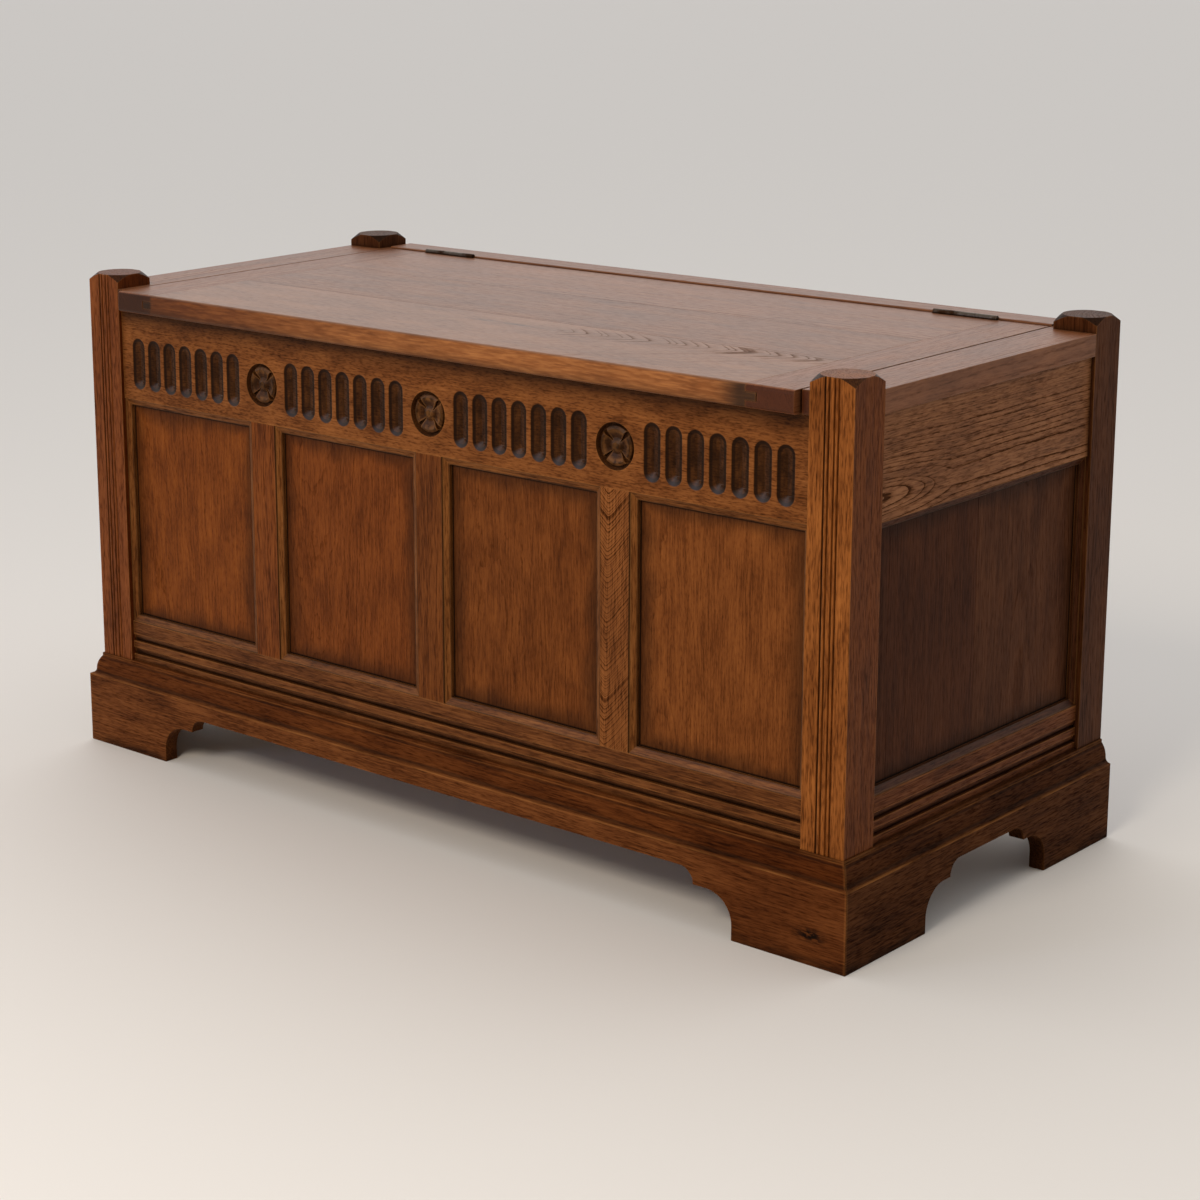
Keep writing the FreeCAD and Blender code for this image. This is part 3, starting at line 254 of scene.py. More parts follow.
# %% [markdown]
# ## The figure of oak
#
# Oak is ring-porous: each spring it grows a band of wide pores, and each band shows as a dark
# line where the board cuts it. The rings are tubes round the middle of the tree, the pith. A
# board cut far from the pith shows straight lines, and one cut near it shows pointed arches.
# So the rings are drawn here as real tubes round a pith that passes each board at a distance
# of its own, a little out of line with the board. The pattern is then right on every face of
# a piece, round its corners too, and no two boards look alike. A tree narrows upward, so a tube
# is really a long cone, and the few boards that show pointed arches give their rings a taper.
#
# Real pores are 0.2 to 0.4 mm wide, which is finer than the render can show, so the pores
# are drawn about 1.4 mm wide and the streaks between them about 2 mm.

# %% Sizes of the figure, and noise along the grain
PORE_SIZE = (10 * MM, 1.4 * MM)      # length and width
STREAK_SIZE = (45 * MM, 2.0 * MM)
CLOUD_SIZE = (85 * MM, 26 * MM)
WANDER_SIZE = (110 * MM, 34 * MM)
RIPPLE_SIZE = (22 * MM, 9 * MM)
RIPPLE_SHARE = 0.28   # how much of a ring's sway is its small ripple


def stretched_noise(group, place, fibre, size, detail, roughness):
    """Noise that is long along the grain and narrow across it."""
    length, width = size
    place = add_node(group, "ShaderNodeVectorMath",
                     {0: place, 1: (1 / length, 1 / width, 1 / width)},
                     operation="MULTIPLY").outputs[0]
    place = add_node(group, "ShaderNodeVectorMath", {0: place, 1: fibre},
                     operation="MULTIPLY").outputs[0]
    return add_node(group, "ShaderNodeTexNoise", {"Vector": place, "Scale": 1.0,
                                                  "Detail": detail,
                                                  "Roughness": roughness}).outputs


print("pores are drawn", round(PORE_SIZE[1] / MM, 1), "mm wide")


# %% Rings round the pith
def from_the_pith(group, given, noise):
    """How far a point lies from the pith, and how far along the stretch where that leans."""
    sways = []
    for size, share in ((WANDER_SIZE, 1.0), (RIPPLE_SIZE, RIPPLE_SHARE)):
        centred = add_node(group, "ShaderNodeVectorMath",
                           {0: noise(size, 2.0, 0.5)["Color"], 1: (0.5, 0.5, 0.5)},
                           operation="SUBTRACT").outputs[0]
        reach = add_node(group, "ShaderNodeMath", {0: given["Wander"], 1: share},
                         operation="MULTIPLY").outputs[0]
        sways.append(add_node(group, "ShaderNodeVectorMath", {0: centred, "Scale": reach},
                              operation="SCALE").outputs[0])
    sway = add_node(group, "ShaderNodeVectorMath", {0: sways[0], 1: sways[1]},
                    operation="ADD").outputs[0]
    place = add_node(group, "ShaderNodeSeparateXYZ", {0: given["Board"]}).outputs["X"]
    stretch = add_node(group, "ShaderNodeClamp", {0: place, "Min": given["Lean from"],
                                                  "Max": given["Lean to"]}).outputs[0]
    leaning = add_node(group, "ShaderNodeVectorMath", {0: given["Lean"], "Scale": stretch},
                       operation="SCALE").outputs[0]
    pith = add_node(group, "ShaderNodeVectorMath", {0: given["Pith"], 1: leaning},
                    operation="ADD").outputs[0]
    offset = add_node(group, "ShaderNodeVectorMath", {0: given["Board"], 1: pith},
                      operation="SUBTRACT").outputs[0]
    swayed = add_node(group, "ShaderNodeVectorMath", {0: offset, 1: sway},
                      operation="ADD").outputs[0]
    flat = add_node(group, "ShaderNodeVectorMath", {0: swayed, 1: (0, 1, 1)},
                    operation="MULTIPLY").outputs[0]
    radius = add_node(group, "ShaderNodeVectorMath", {0: flat},
                      operation="LENGTH").outputs["Value"]
    return radius, stretch


print("rings sway at", round(WANDER_SIZE[0] / MM), "and", round(RIPPLE_SIZE[0] / MM), "mm")

# %% A dark line for each ring
LINE_DARK = 0.16      # share of a ring's width that its dark line takes
LINE_START, LINE_END = (0.0, 0.0), (1.0, 0.02)
LINE_POINTS = ((0.04, 0.9), (LINE_DARK * 0.5, 1.0), (LINE_DARK, 0.72), (LINE_DARK * 2, 0.24),
               (0.6, 0.05))
YEAR_PACE, YEAR_SPREAD = 0.37, 3.0     # how soon, and how much, good and lean years change


def dark_lines(group, given, radius, stretch):
    """One line for each year, which starts at once and fades outward."""
    # a ring is a cone more than a tube, and a tapered one is cut in a point
    cone = add_node(group, "ShaderNodeMath", {0: stretch, 1: given["Taper"], 2: radius},
                    operation="MULTIPLY_ADD").outputs[0]
    ring = add_node(group, "ShaderNodeMath", {0: cone, 1: given["Ring gap"]},
                    operation="DIVIDE").outputs[0]
    years = add_node(group, "ShaderNodeTexNoise", {"W": ring, "Scale": YEAR_PACE,
                                                   "Detail": 2.0},
                     noise_dimensions="1D").outputs["Fac"]
    uneven = add_node(group, "ShaderNodeMath", {0: years, 1: YEAR_SPREAD, 2: ring},
                      operation="MULTIPLY_ADD").outputs[0]
    phase = add_node(group, "ShaderNodeMath", {0: uneven}, operation="FRACT").outputs[0]
    across_line = add_node(group, "ShaderNodeMath", {0: phase, 1: given["Line width"]},
                           operation="DIVIDE").outputs[0]
    line = add_node(group, "ShaderNodeFloatCurve", {"Value": across_line})
    curve = line.mapping.curves[0]
    curve.points[0].location = LINE_START
    curve.points[1].location = LINE_END
    for across, height in LINE_POINTS:
        curve.points.new(across, height)
    line.mapping.update()
    return line.outputs[0]


print("a ring's dark line takes", LINE_DARK, "of its width")

# %% One shader group that draws the figure
FIGURE_INPUTS = (("Board", "Vector"), ("Seed", "Vector"), ("Pith", "Vector"),
                 ("Lean", "Vector"), ("Ring gap", "Float"), ("Wander", "Float"),
                 ("Lean from", "Float"), ("Lean to", "Float"), ("Fibre", "Float"),
                 ("Line width", "Float"), ("Taper", "Float"))
FIGURE_OUTPUTS = ("Rings", "Radius", "Pores", "Streaks", "Clouds")
PORE_FROM, PORE_TO = 0.46, 0.66         # noise that is solid wood, and noise that is a pore
LINE_IN_WOOD, LINE_IN_PORE = 0.72, 0.45     # a line's strength in wood, and what a pore adds
FAINT, PLAIN, FAINTEST = 0.36, 0.6, 0.4     # clouds where lines are faint and plain; the least


def make_oak_figure():
    """Builds the group: board coordinates in, rings, pores, streaks and clouds out."""
    group = bpy.data.node_groups.new("oak_figure", "ShaderNodeTree")
    for name, kind in FIGURE_INPUTS:
        group.interface.new_socket(name, in_out="INPUT", socket_type=f"NodeSocket{kind}")
    for name in FIGURE_OUTPUTS:
        group.interface.new_socket(name, in_out="OUTPUT", socket_type="NodeSocketFloat")
    given = add_node(group, "NodeGroupInput").outputs
    shifted = add_node(group, "ShaderNodeVectorMath", {0: given["Board"], 1: given["Seed"]},
                       operation="ADD").outputs[0]
    fibre = add_node(group, "ShaderNodeCombineXYZ", {"X": given["Fibre"], "Y": 1.0,
                                                     "Z": 1.0}).outputs[0]

    def noise(size, detail, roughness):
        return stretched_noise(group, shifted, fibre, size, detail, roughness)

    radius, stretch = from_the_pith(group, given, noise)
    line = dark_lines(group, given, radius, stretch)
    # an early-wood line is a row of pores, so it is broken up along its length
    pores = add_node(group, "ShaderNodeMapRange", {"Value": noise(PORE_SIZE, 2.0, 0.5)["Fac"],
                                                   "From Min": PORE_FROM,
                                                   "From Max": PORE_TO})
    broken = add_node(group, "ShaderNodeMath", {0: pores.outputs[0], 1: LINE_IN_PORE,
                                                2: LINE_IN_WOOD},
                      operation="MULTIPLY_ADD").outputs[0]
    lines = add_node(group, "ShaderNodeMath", {0: line, 1: broken},
                     operation="MULTIPLY").outputs[0]
    streaks = noise(STREAK_SIZE, 3.0, 0.62)["Fac"]
    clouds = noise(CLOUD_SIZE, 3.0, 0.55)["Fac"]
    # and some stretches of a ring grew wide pores where others hardly show
    coming = add_node(group, "ShaderNodeMapRange",
                      {"Value": clouds, "From Min": FAINT, "From Max": PLAIN,
                       "To Min": FAINTEST}).outputs[0]
    lines = add_node(group, "ShaderNodeMath", {0: lines, 1: coming},
                     operation="MULTIPLY").outputs[0]
    add_node(group, "NodeGroupOutput", {"Rings": lines, "Radius": radius,
                                        "Pores": pores.outputs[0], "Streaks": streaks,
                                        "Clouds": clouds})
    return group


OAK_FIGURE = make_oak_figure()
print("oak figure group with", len(OAK_FIGURE.nodes), "nodes")

# %% [markdown]
# ## Where each point of a board lies in its tree
#
# The figure wants coordinates whose first axis runs along the grain. For a plain board that is
# one turn about the middle of the board. The mouldings round a panel are four strips, mitred at
# the corners, in one node: there the grain changes direction where the mitre is, so both
# coordinates are made and the nearer edge of the opening chooses between them.

# %% Board coordinates
# Each turn brings the grain onto the first axis.
GRAIN_TURNS = {"x": (0.0, 0.0, 0.0),
               "y": (0.0, 0.0, -math.pi / 2),
               "z": (0.0, math.pi / 2, 0.0)}
AXIS_NUMBER = {"x": 0, "y": 1, "z": 2}


def board_coordinates(tree, grain, centre):
    """Coordinates with their first axis along the grain, from the middle of the board."""
    turn_by = Vector(GRAIN_TURNS[grain])
    spin = Matrix.Rotation(turn_by.y, 3, "Y") @ Matrix.Rotation(turn_by.z, 3, "Z")
    shift = -(spin @ Vector(centre))
    place = add_node(tree, "ShaderNodeTexCoord").outputs["Object"]
    return add_node(tree, "ShaderNodeMapping",
                    {"Vector": place, "Location": shift, "Rotation": turn_by}).outputs[0]


def along(tree, axis, of="Object"):
    """A point's place along an axis, or of its "Normal", how far the surface faces that way."""
    source = add_node(tree, "ShaderNodeTexCoord").outputs[of]
    return add_node(tree, "ShaderNodeSeparateXYZ", {0: source}).outputs[AXIS_NUMBER[axis]]


print("turns that bring the grain onto the first axis:", sorted(GRAIN_TURNS))


# %% Coordinates round an opening
def inset(tree, low, high, across):
    """How far a point lies inside a rectangle, and whether it is nearest to one of its sides.

    across is the axis, x or y, along which the opening is wide; it is high along z.
    """
    insides = []
    for axis in (across, "z"):
        number = AXIS_NUMBER[axis]
        middle = (low[number] + high[number]) / 2
        half = (high[number] - low[number]) / 2
        off = add_node(tree, "ShaderNodeMath", {0: along(tree, axis), 1: middle},
                       operation="SUBTRACT").outputs[0]
        away = add_node(tree, "ShaderNodeMath", {0: off}, operation="ABSOLUTE").outputs[0]
        insides.append(add_node(tree, "ShaderNodeMath", {0: half, 1: away},
                                operation="SUBTRACT").outputs[0])
    nearest = add_node(tree, "ShaderNodeMath", {0: insides[0], 1: insides[1]},
                       operation="MINIMUM").outputs[0]
    beside = add_node(tree, "ShaderNodeMath", {0: insides[0], 1: insides[1]},
                      operation="LESS_THAN").outputs[0]
    return nearest, beside


def mitred_coordinates(tree, low, high, across):
    """Board coordinates of the four strips round an opening."""
    centre = (low + high) / 2
    beside = inset(tree, low, high, across)[1]
    return add_node(tree, "ShaderNodeMix",
                    {0: beside, "A": board_coordinates(tree, across, centre),
                     "B": board_coordinates(tree, "z", centre)}, data_type="VECTOR").outputs[1]


def middle_of(name):
    low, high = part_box(name)
    return (low + high) / 2


print("front top rail's middle:", [round(v, 3) for v in middle_of("front_top_rail")])

# %% [markdown]
# ## Masks: stains, painted shade and painted highlights that follow the shape
#
# Some darkening comes from closed-in corners, where it is dirt and painted shade together, and
# some from how the finisher worked. The carved flutes, the roundels and the quirks of the
# mouldings were filled with dark glaze and wiped on the high parts, so these darken with their
# depth behind the face. The panels were shaded towards their frames, which is stain and painted
# shade together, and a dark line where each panel meets its moulding is old dirt and the
# moulding's painted shadow.
#
# Each mask below is a function that gets a shader tree and returns a socket between 0 and 1.
# So masks can be joined before any material exists: a product is where both are, and either is
# where one or the other is. Two of them use "ambient occlusion", which measures how closed in a
# point is. Looking outward it finds hollows, which are darkened as dirt and as painted shade, and
# looking inward, through the wood, outer corners, which are lightened as wear and as painted
# highlights.


# %% Masks by place and direction
RIDGE_CORE = 0.3                   # share of a line's half width that has its full strength
PATCH_FROM, PATCH_TO = 0.38, 0.58     # noise at the thin end of a patch, and at its full end


def facing(axis, outward, least, full, most=1.0):
    """Where the surface faces outward along an axis: 0 at least, rising to most at full."""
    def mask(tree):
        return add_node(tree, "ShaderNodeMapRange",
                        {"Value": along(tree, axis, "Normal"), "From Min": outward * least,
                         "From Max": outward * full, "To Max": most}).outputs[0]
    return mask


def band(axis, light_end, dark_end, most=1.0):
    """Rises from 0 at one place along an axis to most at another."""
    def mask(tree):
        return add_node(tree, "ShaderNodeMapRange",
                        {"Value": along(tree, axis), "From Min": light_end,
                         "From Max": dark_end, "To Min": 0.0, "To Max": most},
                        interpolation_type="SMOOTHSTEP").outputs[0]
    return mask


def ridge(axis, place, half_width, most=1.0):
    """A narrow line across an axis at one place."""
    def mask(tree):
        away = add_node(tree, "ShaderNodeMath", {0: along(tree, axis), 1: place},
                        operation="SUBTRACT").outputs[0]
        away = add_node(tree, "ShaderNodeMath", {0: away}, operation="ABSOLUTE").outputs[0]
        return add_node(tree, "ShaderNodeMapRange",
                        {"Value": away, "From Min": half_width * RIDGE_CORE, "From Max": half_width,
                         "To Min": most, "To Max": 0.0}).outputs[0]
    return mask


def patches(size, thinnest):
    """Patches of a size along x, y and z, which thin what they are multiplied with."""
    def mask(tree):
        spread = add_node(tree, "ShaderNodeVectorMath",
                          {0: add_node(tree, "ShaderNodeTexCoord").outputs["Object"],
                           1: [1 / length for length in size]}, operation="MULTIPLY").outputs[0]
        noise = add_node(tree, "ShaderNodeTexNoise", {"Vector": spread, "Scale": 1.0,
                                                      "Detail": 2.0}).outputs["Fac"]
        return add_node(tree, "ShaderNodeMapRange",
                        {"Value": noise, "From Min": PATCH_FROM, "From Max": PATCH_TO,
                         "To Min": thinnest, "To Max": 1.0}).outputs[0]
    return mask


print("masks by place: facing, band, ridge and patches")


# %% Masks by how closed in a point is, and by the grain
HOLLOW_REACH = 8 * MM
CORNER_REACH = 2.2 * MM
CLOSED, OPEN = 0.25, 0.9         # openness in a deep hollow, and on an open face
THIN, SOLID = 0.45, 0.85         # the same inside a sharp corner, and under a face
ALONG, ACROSS = 0.55, 0.8        # how squarely a face cuts the grain


# Darkens the hollows: dirt and old wax, and painted shade where the light is closed out.
def in_hollows(most):
    def mask(tree):
        openness = add_node(tree, "ShaderNodeAmbientOcclusion", {"Distance": HOLLOW_REACH},
                            samples=6).outputs["AO"]
        return add_node(tree, "ShaderNodeMapRange", {"Value": openness, "From Min": CLOSED,
                                                     "From Max": OPEN, "To Min": most,
                                                     "To Max": 0.0}).outputs[0]
    return mask


# Lightens the outer corners: wear, and painted highlights along the arrises.
def on_corners(most):
    def mask(tree):
        thickness = add_node(tree, "ShaderNodeAmbientOcclusion", {"Distance": CORNER_REACH},
                             samples=6, inside=True, only_local=True).outputs["AO"]
        return add_node(tree, "ShaderNodeMapRange", {"Value": thickness, "From Min": THIN,
                                                     "From Max": SOLID, "To Min": most,
                                                     "To Max": 0.0}).outputs[0]
    return mask


def on_end_grain(grain, most):
    """Where the surface cuts across the grain: end grain drinks more stain."""
    def mask(tree):
        across = add_node(tree, "ShaderNodeMath", {0: along(tree, grain, "Normal")},
                          operation="ABSOLUTE").outputs[0]
        return add_node(tree, "ShaderNodeMapRange", {"Value": across, "From Min": ALONG,
                                                     "From Max": ACROSS, "To Min": 0.0,
                                                     "To Max": most}).outputs[0]
    return mask


print("masks by shape: in_hollows, on_corners and on_end_grain")


# %% Masks made of masks
def joined(operation, masks):
    def mask(tree):
        value = masks[0](tree)
        for other in masks[1:]:
            value = add_node(tree, "ShaderNodeMath", {0: value, 1: other(tree)},
                             operation=operation).outputs[0]
        return value
    return mask


def product(*masks):
    return joined("MULTIPLY", masks)


def either(*masks):
    return joined("MAXIMUM", masks)


def glaze_behind(axis, face, outward, start, full, most):
    """A stain that grows with the depth behind a face, on what faces outward."""
    return product(band(axis, face - outward * start, face - outward * full, most),
                   facing(axis, outward, 0.1, 0.3))


def edge_lines(low, high, across, width, dark):
    """A thin dark line along the border of a board, where it meets its neighbours."""
    def mask(tree):
        nearest = inset(tree, low, high, across)[0]
        return add_node(tree, "ShaderNodeMapRange",
                        {"Value": nearest, "From Min": width * 0.5, "From Max": width * 1.5,
                         "To Min": dark, "To Max": 0.0}).outputs[0]
    return mask


print("masks made of masks: product, either, glaze_behind and edge_lines")

# %% A panel's border
SHADE_PATCH = 45 * MM      # the shade's edge wavers at about this scale


def shaded_border(low, high, across, line_width, shade_width, line_dark, shade_dark):
    """A dark line along an opening's border, dirt and painted shadow, and a soft stain and painted
    shade inside.
    """
    def mask(tree):
        nearest = inset(tree, low, high, across)[0]
        line = add_node(tree, "ShaderNodeMapRange",
                        {"Value": nearest, "From Min": line_width * 0.6,
                         "From Max": line_width * 1.4, "To Min": line_dark, "To Max": 0.0},
                        interpolation_type="SMOOTHSTEP").outputs[0]
        uneven = add_node(tree, "ShaderNodeTexNoise",
                          {"Vector": add_node(tree, "ShaderNodeTexCoord").outputs["Object"],
                           "Scale": 1 / SHADE_PATCH, "Detail": 3.0}).outputs["Fac"]
        reach = add_node(tree, "ShaderNodeMath", {0: uneven, 1: shade_width * 2},
                         operation="MULTIPLY").outputs[0]
        inside = add_node(tree, "ShaderNodeMath", {0: nearest, 1: reach},
                          operation="DIVIDE").outputs[0]
        shade = add_node(tree, "ShaderNodeMapRange",
                         {"Value": inside, "From Min": 0.0, "From Max": 1.0,
                          "To Min": shade_dark, "To Max": 0.0},
                         interpolation_type="SMOOTHSTEP").outputs[0]
        return add_node(tree, "ShaderNodeMath", {0: line, 1: shade},
                        operation="MAXIMUM").outputs[0]
    return mask


print("shaded border, uneven over", round(SHADE_PATCH / MM), "mm")

# %% [markdown]
# ## Stained and waxed oak
#
# The real finish is a brown stain under wax. Stain gathers in the open pores and rings, so they
# go dark, and it is rubbed through on the arrises, so they go pale; that pale colour also paints
# the highlights the arrises catch. Dirt and old wax fill the hollows, and their dark colour also
# paints the shade there. Wax over open-grained oak gives a satin gloss: light is spread by the
# pores, but at a low angle the surface still mirrors. The front has little gloss of its own, and
# the stain tints it, so its specular tint is brown.
#
# One colour names a board's middle tone, and its dark and light tones follow from it. All other
# numbers stand in a recipe. The common recipe below holds them all, and each board's own names
# only what is different, so it reads as a note on that board.

# %% Tones of one stained board
# Shares of the middle tone, in linear light: stained pores, dark wood, middle, light wood.
TONE_SHARES = ((0.20, 0.17, 0.15), (0.64, 0.59, 0.55), (1.0, 1.0, 1.0), (1.5, 1.62, 1.7))
TONE_PLACES = (0.0, 0.34, 0.56, 0.92)
PLAIN_WOOD = 0.58      # where on that scale wood without any figure lies
# The dark colour is dirt and glaze and also paints shade; the pale one is bare worn wood and also
# paints highlights.
DIRT = linear("120A06")
WORN = linear("A9713C")


def tones_of(middle):
    red, green, blue, _ = linear(middle)
    return [(red * share[0], green * share[1], blue * share[2], 1.0) for share in TONE_SHARES]


print("tones of 7A4522:", [[round(c, 3) for c in tone[:3]] for tone in tones_of("7A4522")])

# %% The common recipe
OAK_RECIPE = {
    "middle": "7A4522",          # middle tone
    "pith": (0, 0.09, 0.05),     # where the pith passes, from the middle of the board
    "lean": (0, 0.02, 0.01),     # how far it drifts aside along each metre of the board
    "lean_from": -9.0,           # the stretch over which it leans, along the board
    "lean_to": 9.0,
    "taper": 0.0,                # how fast the rings widen over that stretch
    "ring_gap": 2.6 * MM,
    "line_width": 1.0,           # width of each ring's dark line
    "rings": 0.2,                # how dark the rings are
    "ring_reach": 9.0,           # how far from the pith they stay plain to see
    "ring_where": None,          # a mask, where they show only in a place
    "wander": 8 * MM,            # how far they sway
    "fibre": 1.0,                # shortens pores and streaks: at 2 they are half as long
    "clouds": 0.9,               # how much clouds, streaks and pores change the tone
    "streaks": 1.1,
    "pores": 0.26,
    "roughness": 0.44,
    "gloss": 0.16,               # how much it reflects
    "tint": "D8A57C",            # and in what colour
    "relief": 0.3,               # how deep the grain feels
    # the outer corners are lightened as wear and as painted highlights
    "wear": 0.5,                 # how bare the outer corners are rubbed
    # the hollows are darkened as dirt and as painted shade
    "hollows": 0.8,              # how dark the hollows are
    "grain": None,               # the axis of the grain, where its end is darker
    "end_tone": 0.45,            # how dark that end grain is
    # The darkening masks hold stains and painted shade, and the rubbed ones bare wood and painted
    # highlights.
    "stains": (),                # masks that darken
    "shades": (),                # pairs: a mask, and a colour that it multiplies by
    "rubs": (),                  # masks that show bare worn wood
    "pooled": None,              # a mask, where old wax has pooled to a clear coat
}
POOLED_ROUGHNESS = 0.42
PORE_DULLNESS, RING_DULLNESS = 0.5, 0.9   # how much duller open grain is than the wax
PORE_HEIGHT = -0.6                        # pores lie lower than the streaks are high
FAR_RINGS = 0.15      # share of the rings' strength that is left beyond their reach
GRAIN_DEPTH = 0.2 * MM
print("the common recipe has", len(OAK_RECIPE), "entries")


# %% The figure of one board
def board_figure(tree, coordinates, seed, recipe):
    """Adds the figure at a place in a tree of the board's own; gives it and its ring lines."""
    figure = add_node(tree, "ShaderNodeGroup", {"Board": coordinates(tree)},
                      node_tree=OAK_FIGURE)
    dice = random.Random(seed)
    figure.inputs["Seed"].default_value = [dice.uniform(-9, 9) for _ in range(3)]
    for socket in ("Pith", "Lean", "Lean from", "Lean to", "Ring gap", "Wander", "Fibre",
                   "Line width", "Taper"):
        figure.inputs[socket].default_value = recipe[socket.lower().replace(" ", "_")]
    reach, rings = recipe["ring_reach"], recipe["rings"]
    strength = add_node(tree, "ShaderNodeMapRange",
                        {"Value": figure.outputs["Radius"], "From Min": reach * 0.5,
                         "From Max": reach, "To Min": rings, "To Max": rings * FAR_RINGS})
    lines = add_node(tree, "ShaderNodeMath", {0: figure.outputs["Rings"],
                                              1: strength.outputs[0]},
                     operation="MULTIPLY").outputs[0]
    if recipe["ring_where"]:
        lines = add_node(tree, "ShaderNodeMath", {0: lines, 1: recipe["ring_where"](tree)},
                         operation="MULTIPLY").outputs[0]
    return figure.outputs, lines


print("board figure ready; far rings keep", FAR_RINGS, "of their strength")


# %% The colour of one board
def stained_colour(tree, figure, lines, recipe):
    """The board's colour before dirt and wear: light wood is 1 on the scale, dark stain 0."""
    clouds, streaks, pores = recipe["clouds"], recipe["streaks"], recipe["pores"]
    tone = add_node(tree, "ShaderNodeMath",
                    {0: figure["Clouds"], 1: clouds, 2: PLAIN_WOOD - clouds / 2 - streaks / 2},
                    operation="MULTIPLY_ADD").outputs[0]
    for part, weight in (("Streaks", streaks), ("Pores", -pores)):
        tone = add_node(tree, "ShaderNodeMath", {0: figure[part], 1: weight, 2: tone},
                        operation="MULTIPLY_ADD").outputs[0]
    tone = add_node(tree, "ShaderNodeMath", {0: tone, 1: lines},
                    operation="SUBTRACT").outputs[0]
    ramp = add_node(tree, "ShaderNodeValToRGB", {"Fac": tone})
    stops = ramp.color_ramp.elements
    stops[0].position, stops[1].position = TONE_PLACES[0], TONE_PLACES[-1]
    for place in TONE_PLACES[1:-1]:
        stops.new(place)
    for stop, colour in zip(stops, tones_of(recipe["middle"])):
        stop.color = colour
    colour = ramp.outputs["Color"]
    for where, shade in recipe["shades"]:
        colour = add_node(tree, "ShaderNodeMix", {"Factor": where(tree), "A": colour,
                                                  "B": linear(shade)},
                          data_type="RGBA", blend_type="MULTIPLY").outputs["Result"]
    return colour


print("stained colour ready, with the tones at", TONE_PLACES)


# %% Dirt, painted shade, wear, painted highlights and wax
def soiled_and_worn(tree, colour, figure, recipe):
    """Dirt, glaze and painted shade where they gather; bare wood and painted highlight where
    rubbed.
    """
    darkening = [in_hollows(recipe["hollows"]), *recipe["stains"]]
    if recipe["grain"]:
        darkening.append(on_end_grain(recipe["grain"], recipe["end_tone"]))
    soiled = add_node(tree, "ShaderNodeMix", {"Factor": either(*darkening)(tree), "A": colour,
                                              "B": DIRT}, data_type="RGBA").outputs["Result"]
    rubbed = either(on_corners(recipe["wear"]), *recipe["rubs"])(tree)
    patchy = add_node(tree, "ShaderNodeMath", {0: rubbed, 1: figure["Clouds"]},
                      operation="MULTIPLY").outputs[0]
    return add_node(tree, "ShaderNodeMix", {"Factor": patchy, "A": soiled, "B": WORN},
                    data_type="RGBA").outputs["Result"]


def wax(tree, shader, figure, lines, recipe):
    """Satin wax, duller in the pores and rings, over the relief of the grain."""
    pore_dullness = PORE_DULLNESS * recipe["pores"]
    rough = add_node(tree, "ShaderNodeMath", {0: figure["Pores"], 1: pore_dullness,
                                              2: recipe["roughness"]},
                     operation="MULTIPLY_ADD").outputs[0]
    rough = add_node(tree, "ShaderNodeMath", {0: lines, 1: RING_DULLNESS, 2: rough},
                     operation="MULTIPLY_ADD").outputs[0]
    tree.links.new(rough, shader.inputs["Roughness"])
    shader.inputs["IOR"].default_value = 1.5
    shader.inputs["Specular IOR Level"].default_value = recipe["gloss"]
    shader.inputs["Specular Tint"].default_value = linear(recipe["tint"])
    if recipe["pooled"]:
        tree.links.new(recipe["pooled"](tree), shader.inputs["Coat Weight"])
        shader.inputs["Coat Roughness"].default_value = POOLED_ROUGHNESS
    height = add_node(tree, "ShaderNodeMath", {0: figure["Pores"], 1: PORE_HEIGHT,
                                               2: figure["Streaks"]},
                      operation="MULTIPLY_ADD").outputs[0]
    bump = add_node(tree, "ShaderNodeBump", {"Height": height, "Strength": recipe["relief"],
                                             "Distance": GRAIN_DEPTH}).outputs[0]
    tree.links.new(bump, shader.inputs["Normal"])


print("dirt, wear and wax ready")


# %% The whole finish
def oak_finish(name, coordinates, seed, **changes):
    """Stained oak for one board: the common recipe with the board's own changes."""
    unknown = set(changes) - set(OAK_RECIPE)
    if unknown:
        raise KeyError(f"{name}: no such entry as {unknown}")
    recipe = {**OAK_RECIPE, **changes}
    material = bpy.data.materials.new(name)
    material.use_nodes = True
    tree = material.node_tree
    shader = tree.nodes["Principled BSDF"]
    figure, lines = board_figure(tree, coordinates, seed, recipe)
    colour = stained_colour(tree, figure, lines, recipe)
    tree.links.new(soiled_and_worn(tree, colour, figure, recipe), shader.inputs["Base Color"])
    wax(tree, shader, figure, lines, recipe)
    return material


def dress(node_name, material):
    """Puts one material on every slot of a CAD node."""
    piece = nodes[node_name]
    if not piece.material_slots:
        piece.data.materials.append(material)
    for slot in piece.material_slots:
        slot.link = "OBJECT"
        slot.material = material


print("oak finish ready")

# %% [markdown]
# ## Boards whose grain runs along the chest, from front to back, and up
#
# A joiner cuts each piece so that its grain runs along its length. The panels and muntins stand,
# the rails and the lid boards lie. Each board gets a seed from its own name, so that the pattern
# is the same at every run, and a place in the tree of its own.


# %% Grain, seed and place in the tree
def grain_of(name):
    """The axis that a board's grain follows."""
    if name.startswith("post") or "panel" in name or "muntin" in name:
        return "z"
    if name.startswith(("left", "right", "lid_cleat", "plinth_left", "plinth_right",
                        "bottom_board")):
        return "y"
    return "x"


def seed_of(name):
    return sum(ord(letter) * (place + 1) for place, letter in enumerate(name))


def chance_of(name):
    """A pith and a lean of the board's own: mostly straight grain, cut far from the pith."""
    dice = random.Random(seed_of(name))
    return {"pith": (0, dice.uniform(0.05, 0.16) * dice.choice((-1, 1)),
                     dice.uniform(0.03, 0.12) * dice.choice((-1, 1))),
            "lean": (0, dice.uniform(-0.04, 0.04), dice.uniform(-0.03, 0.03))}


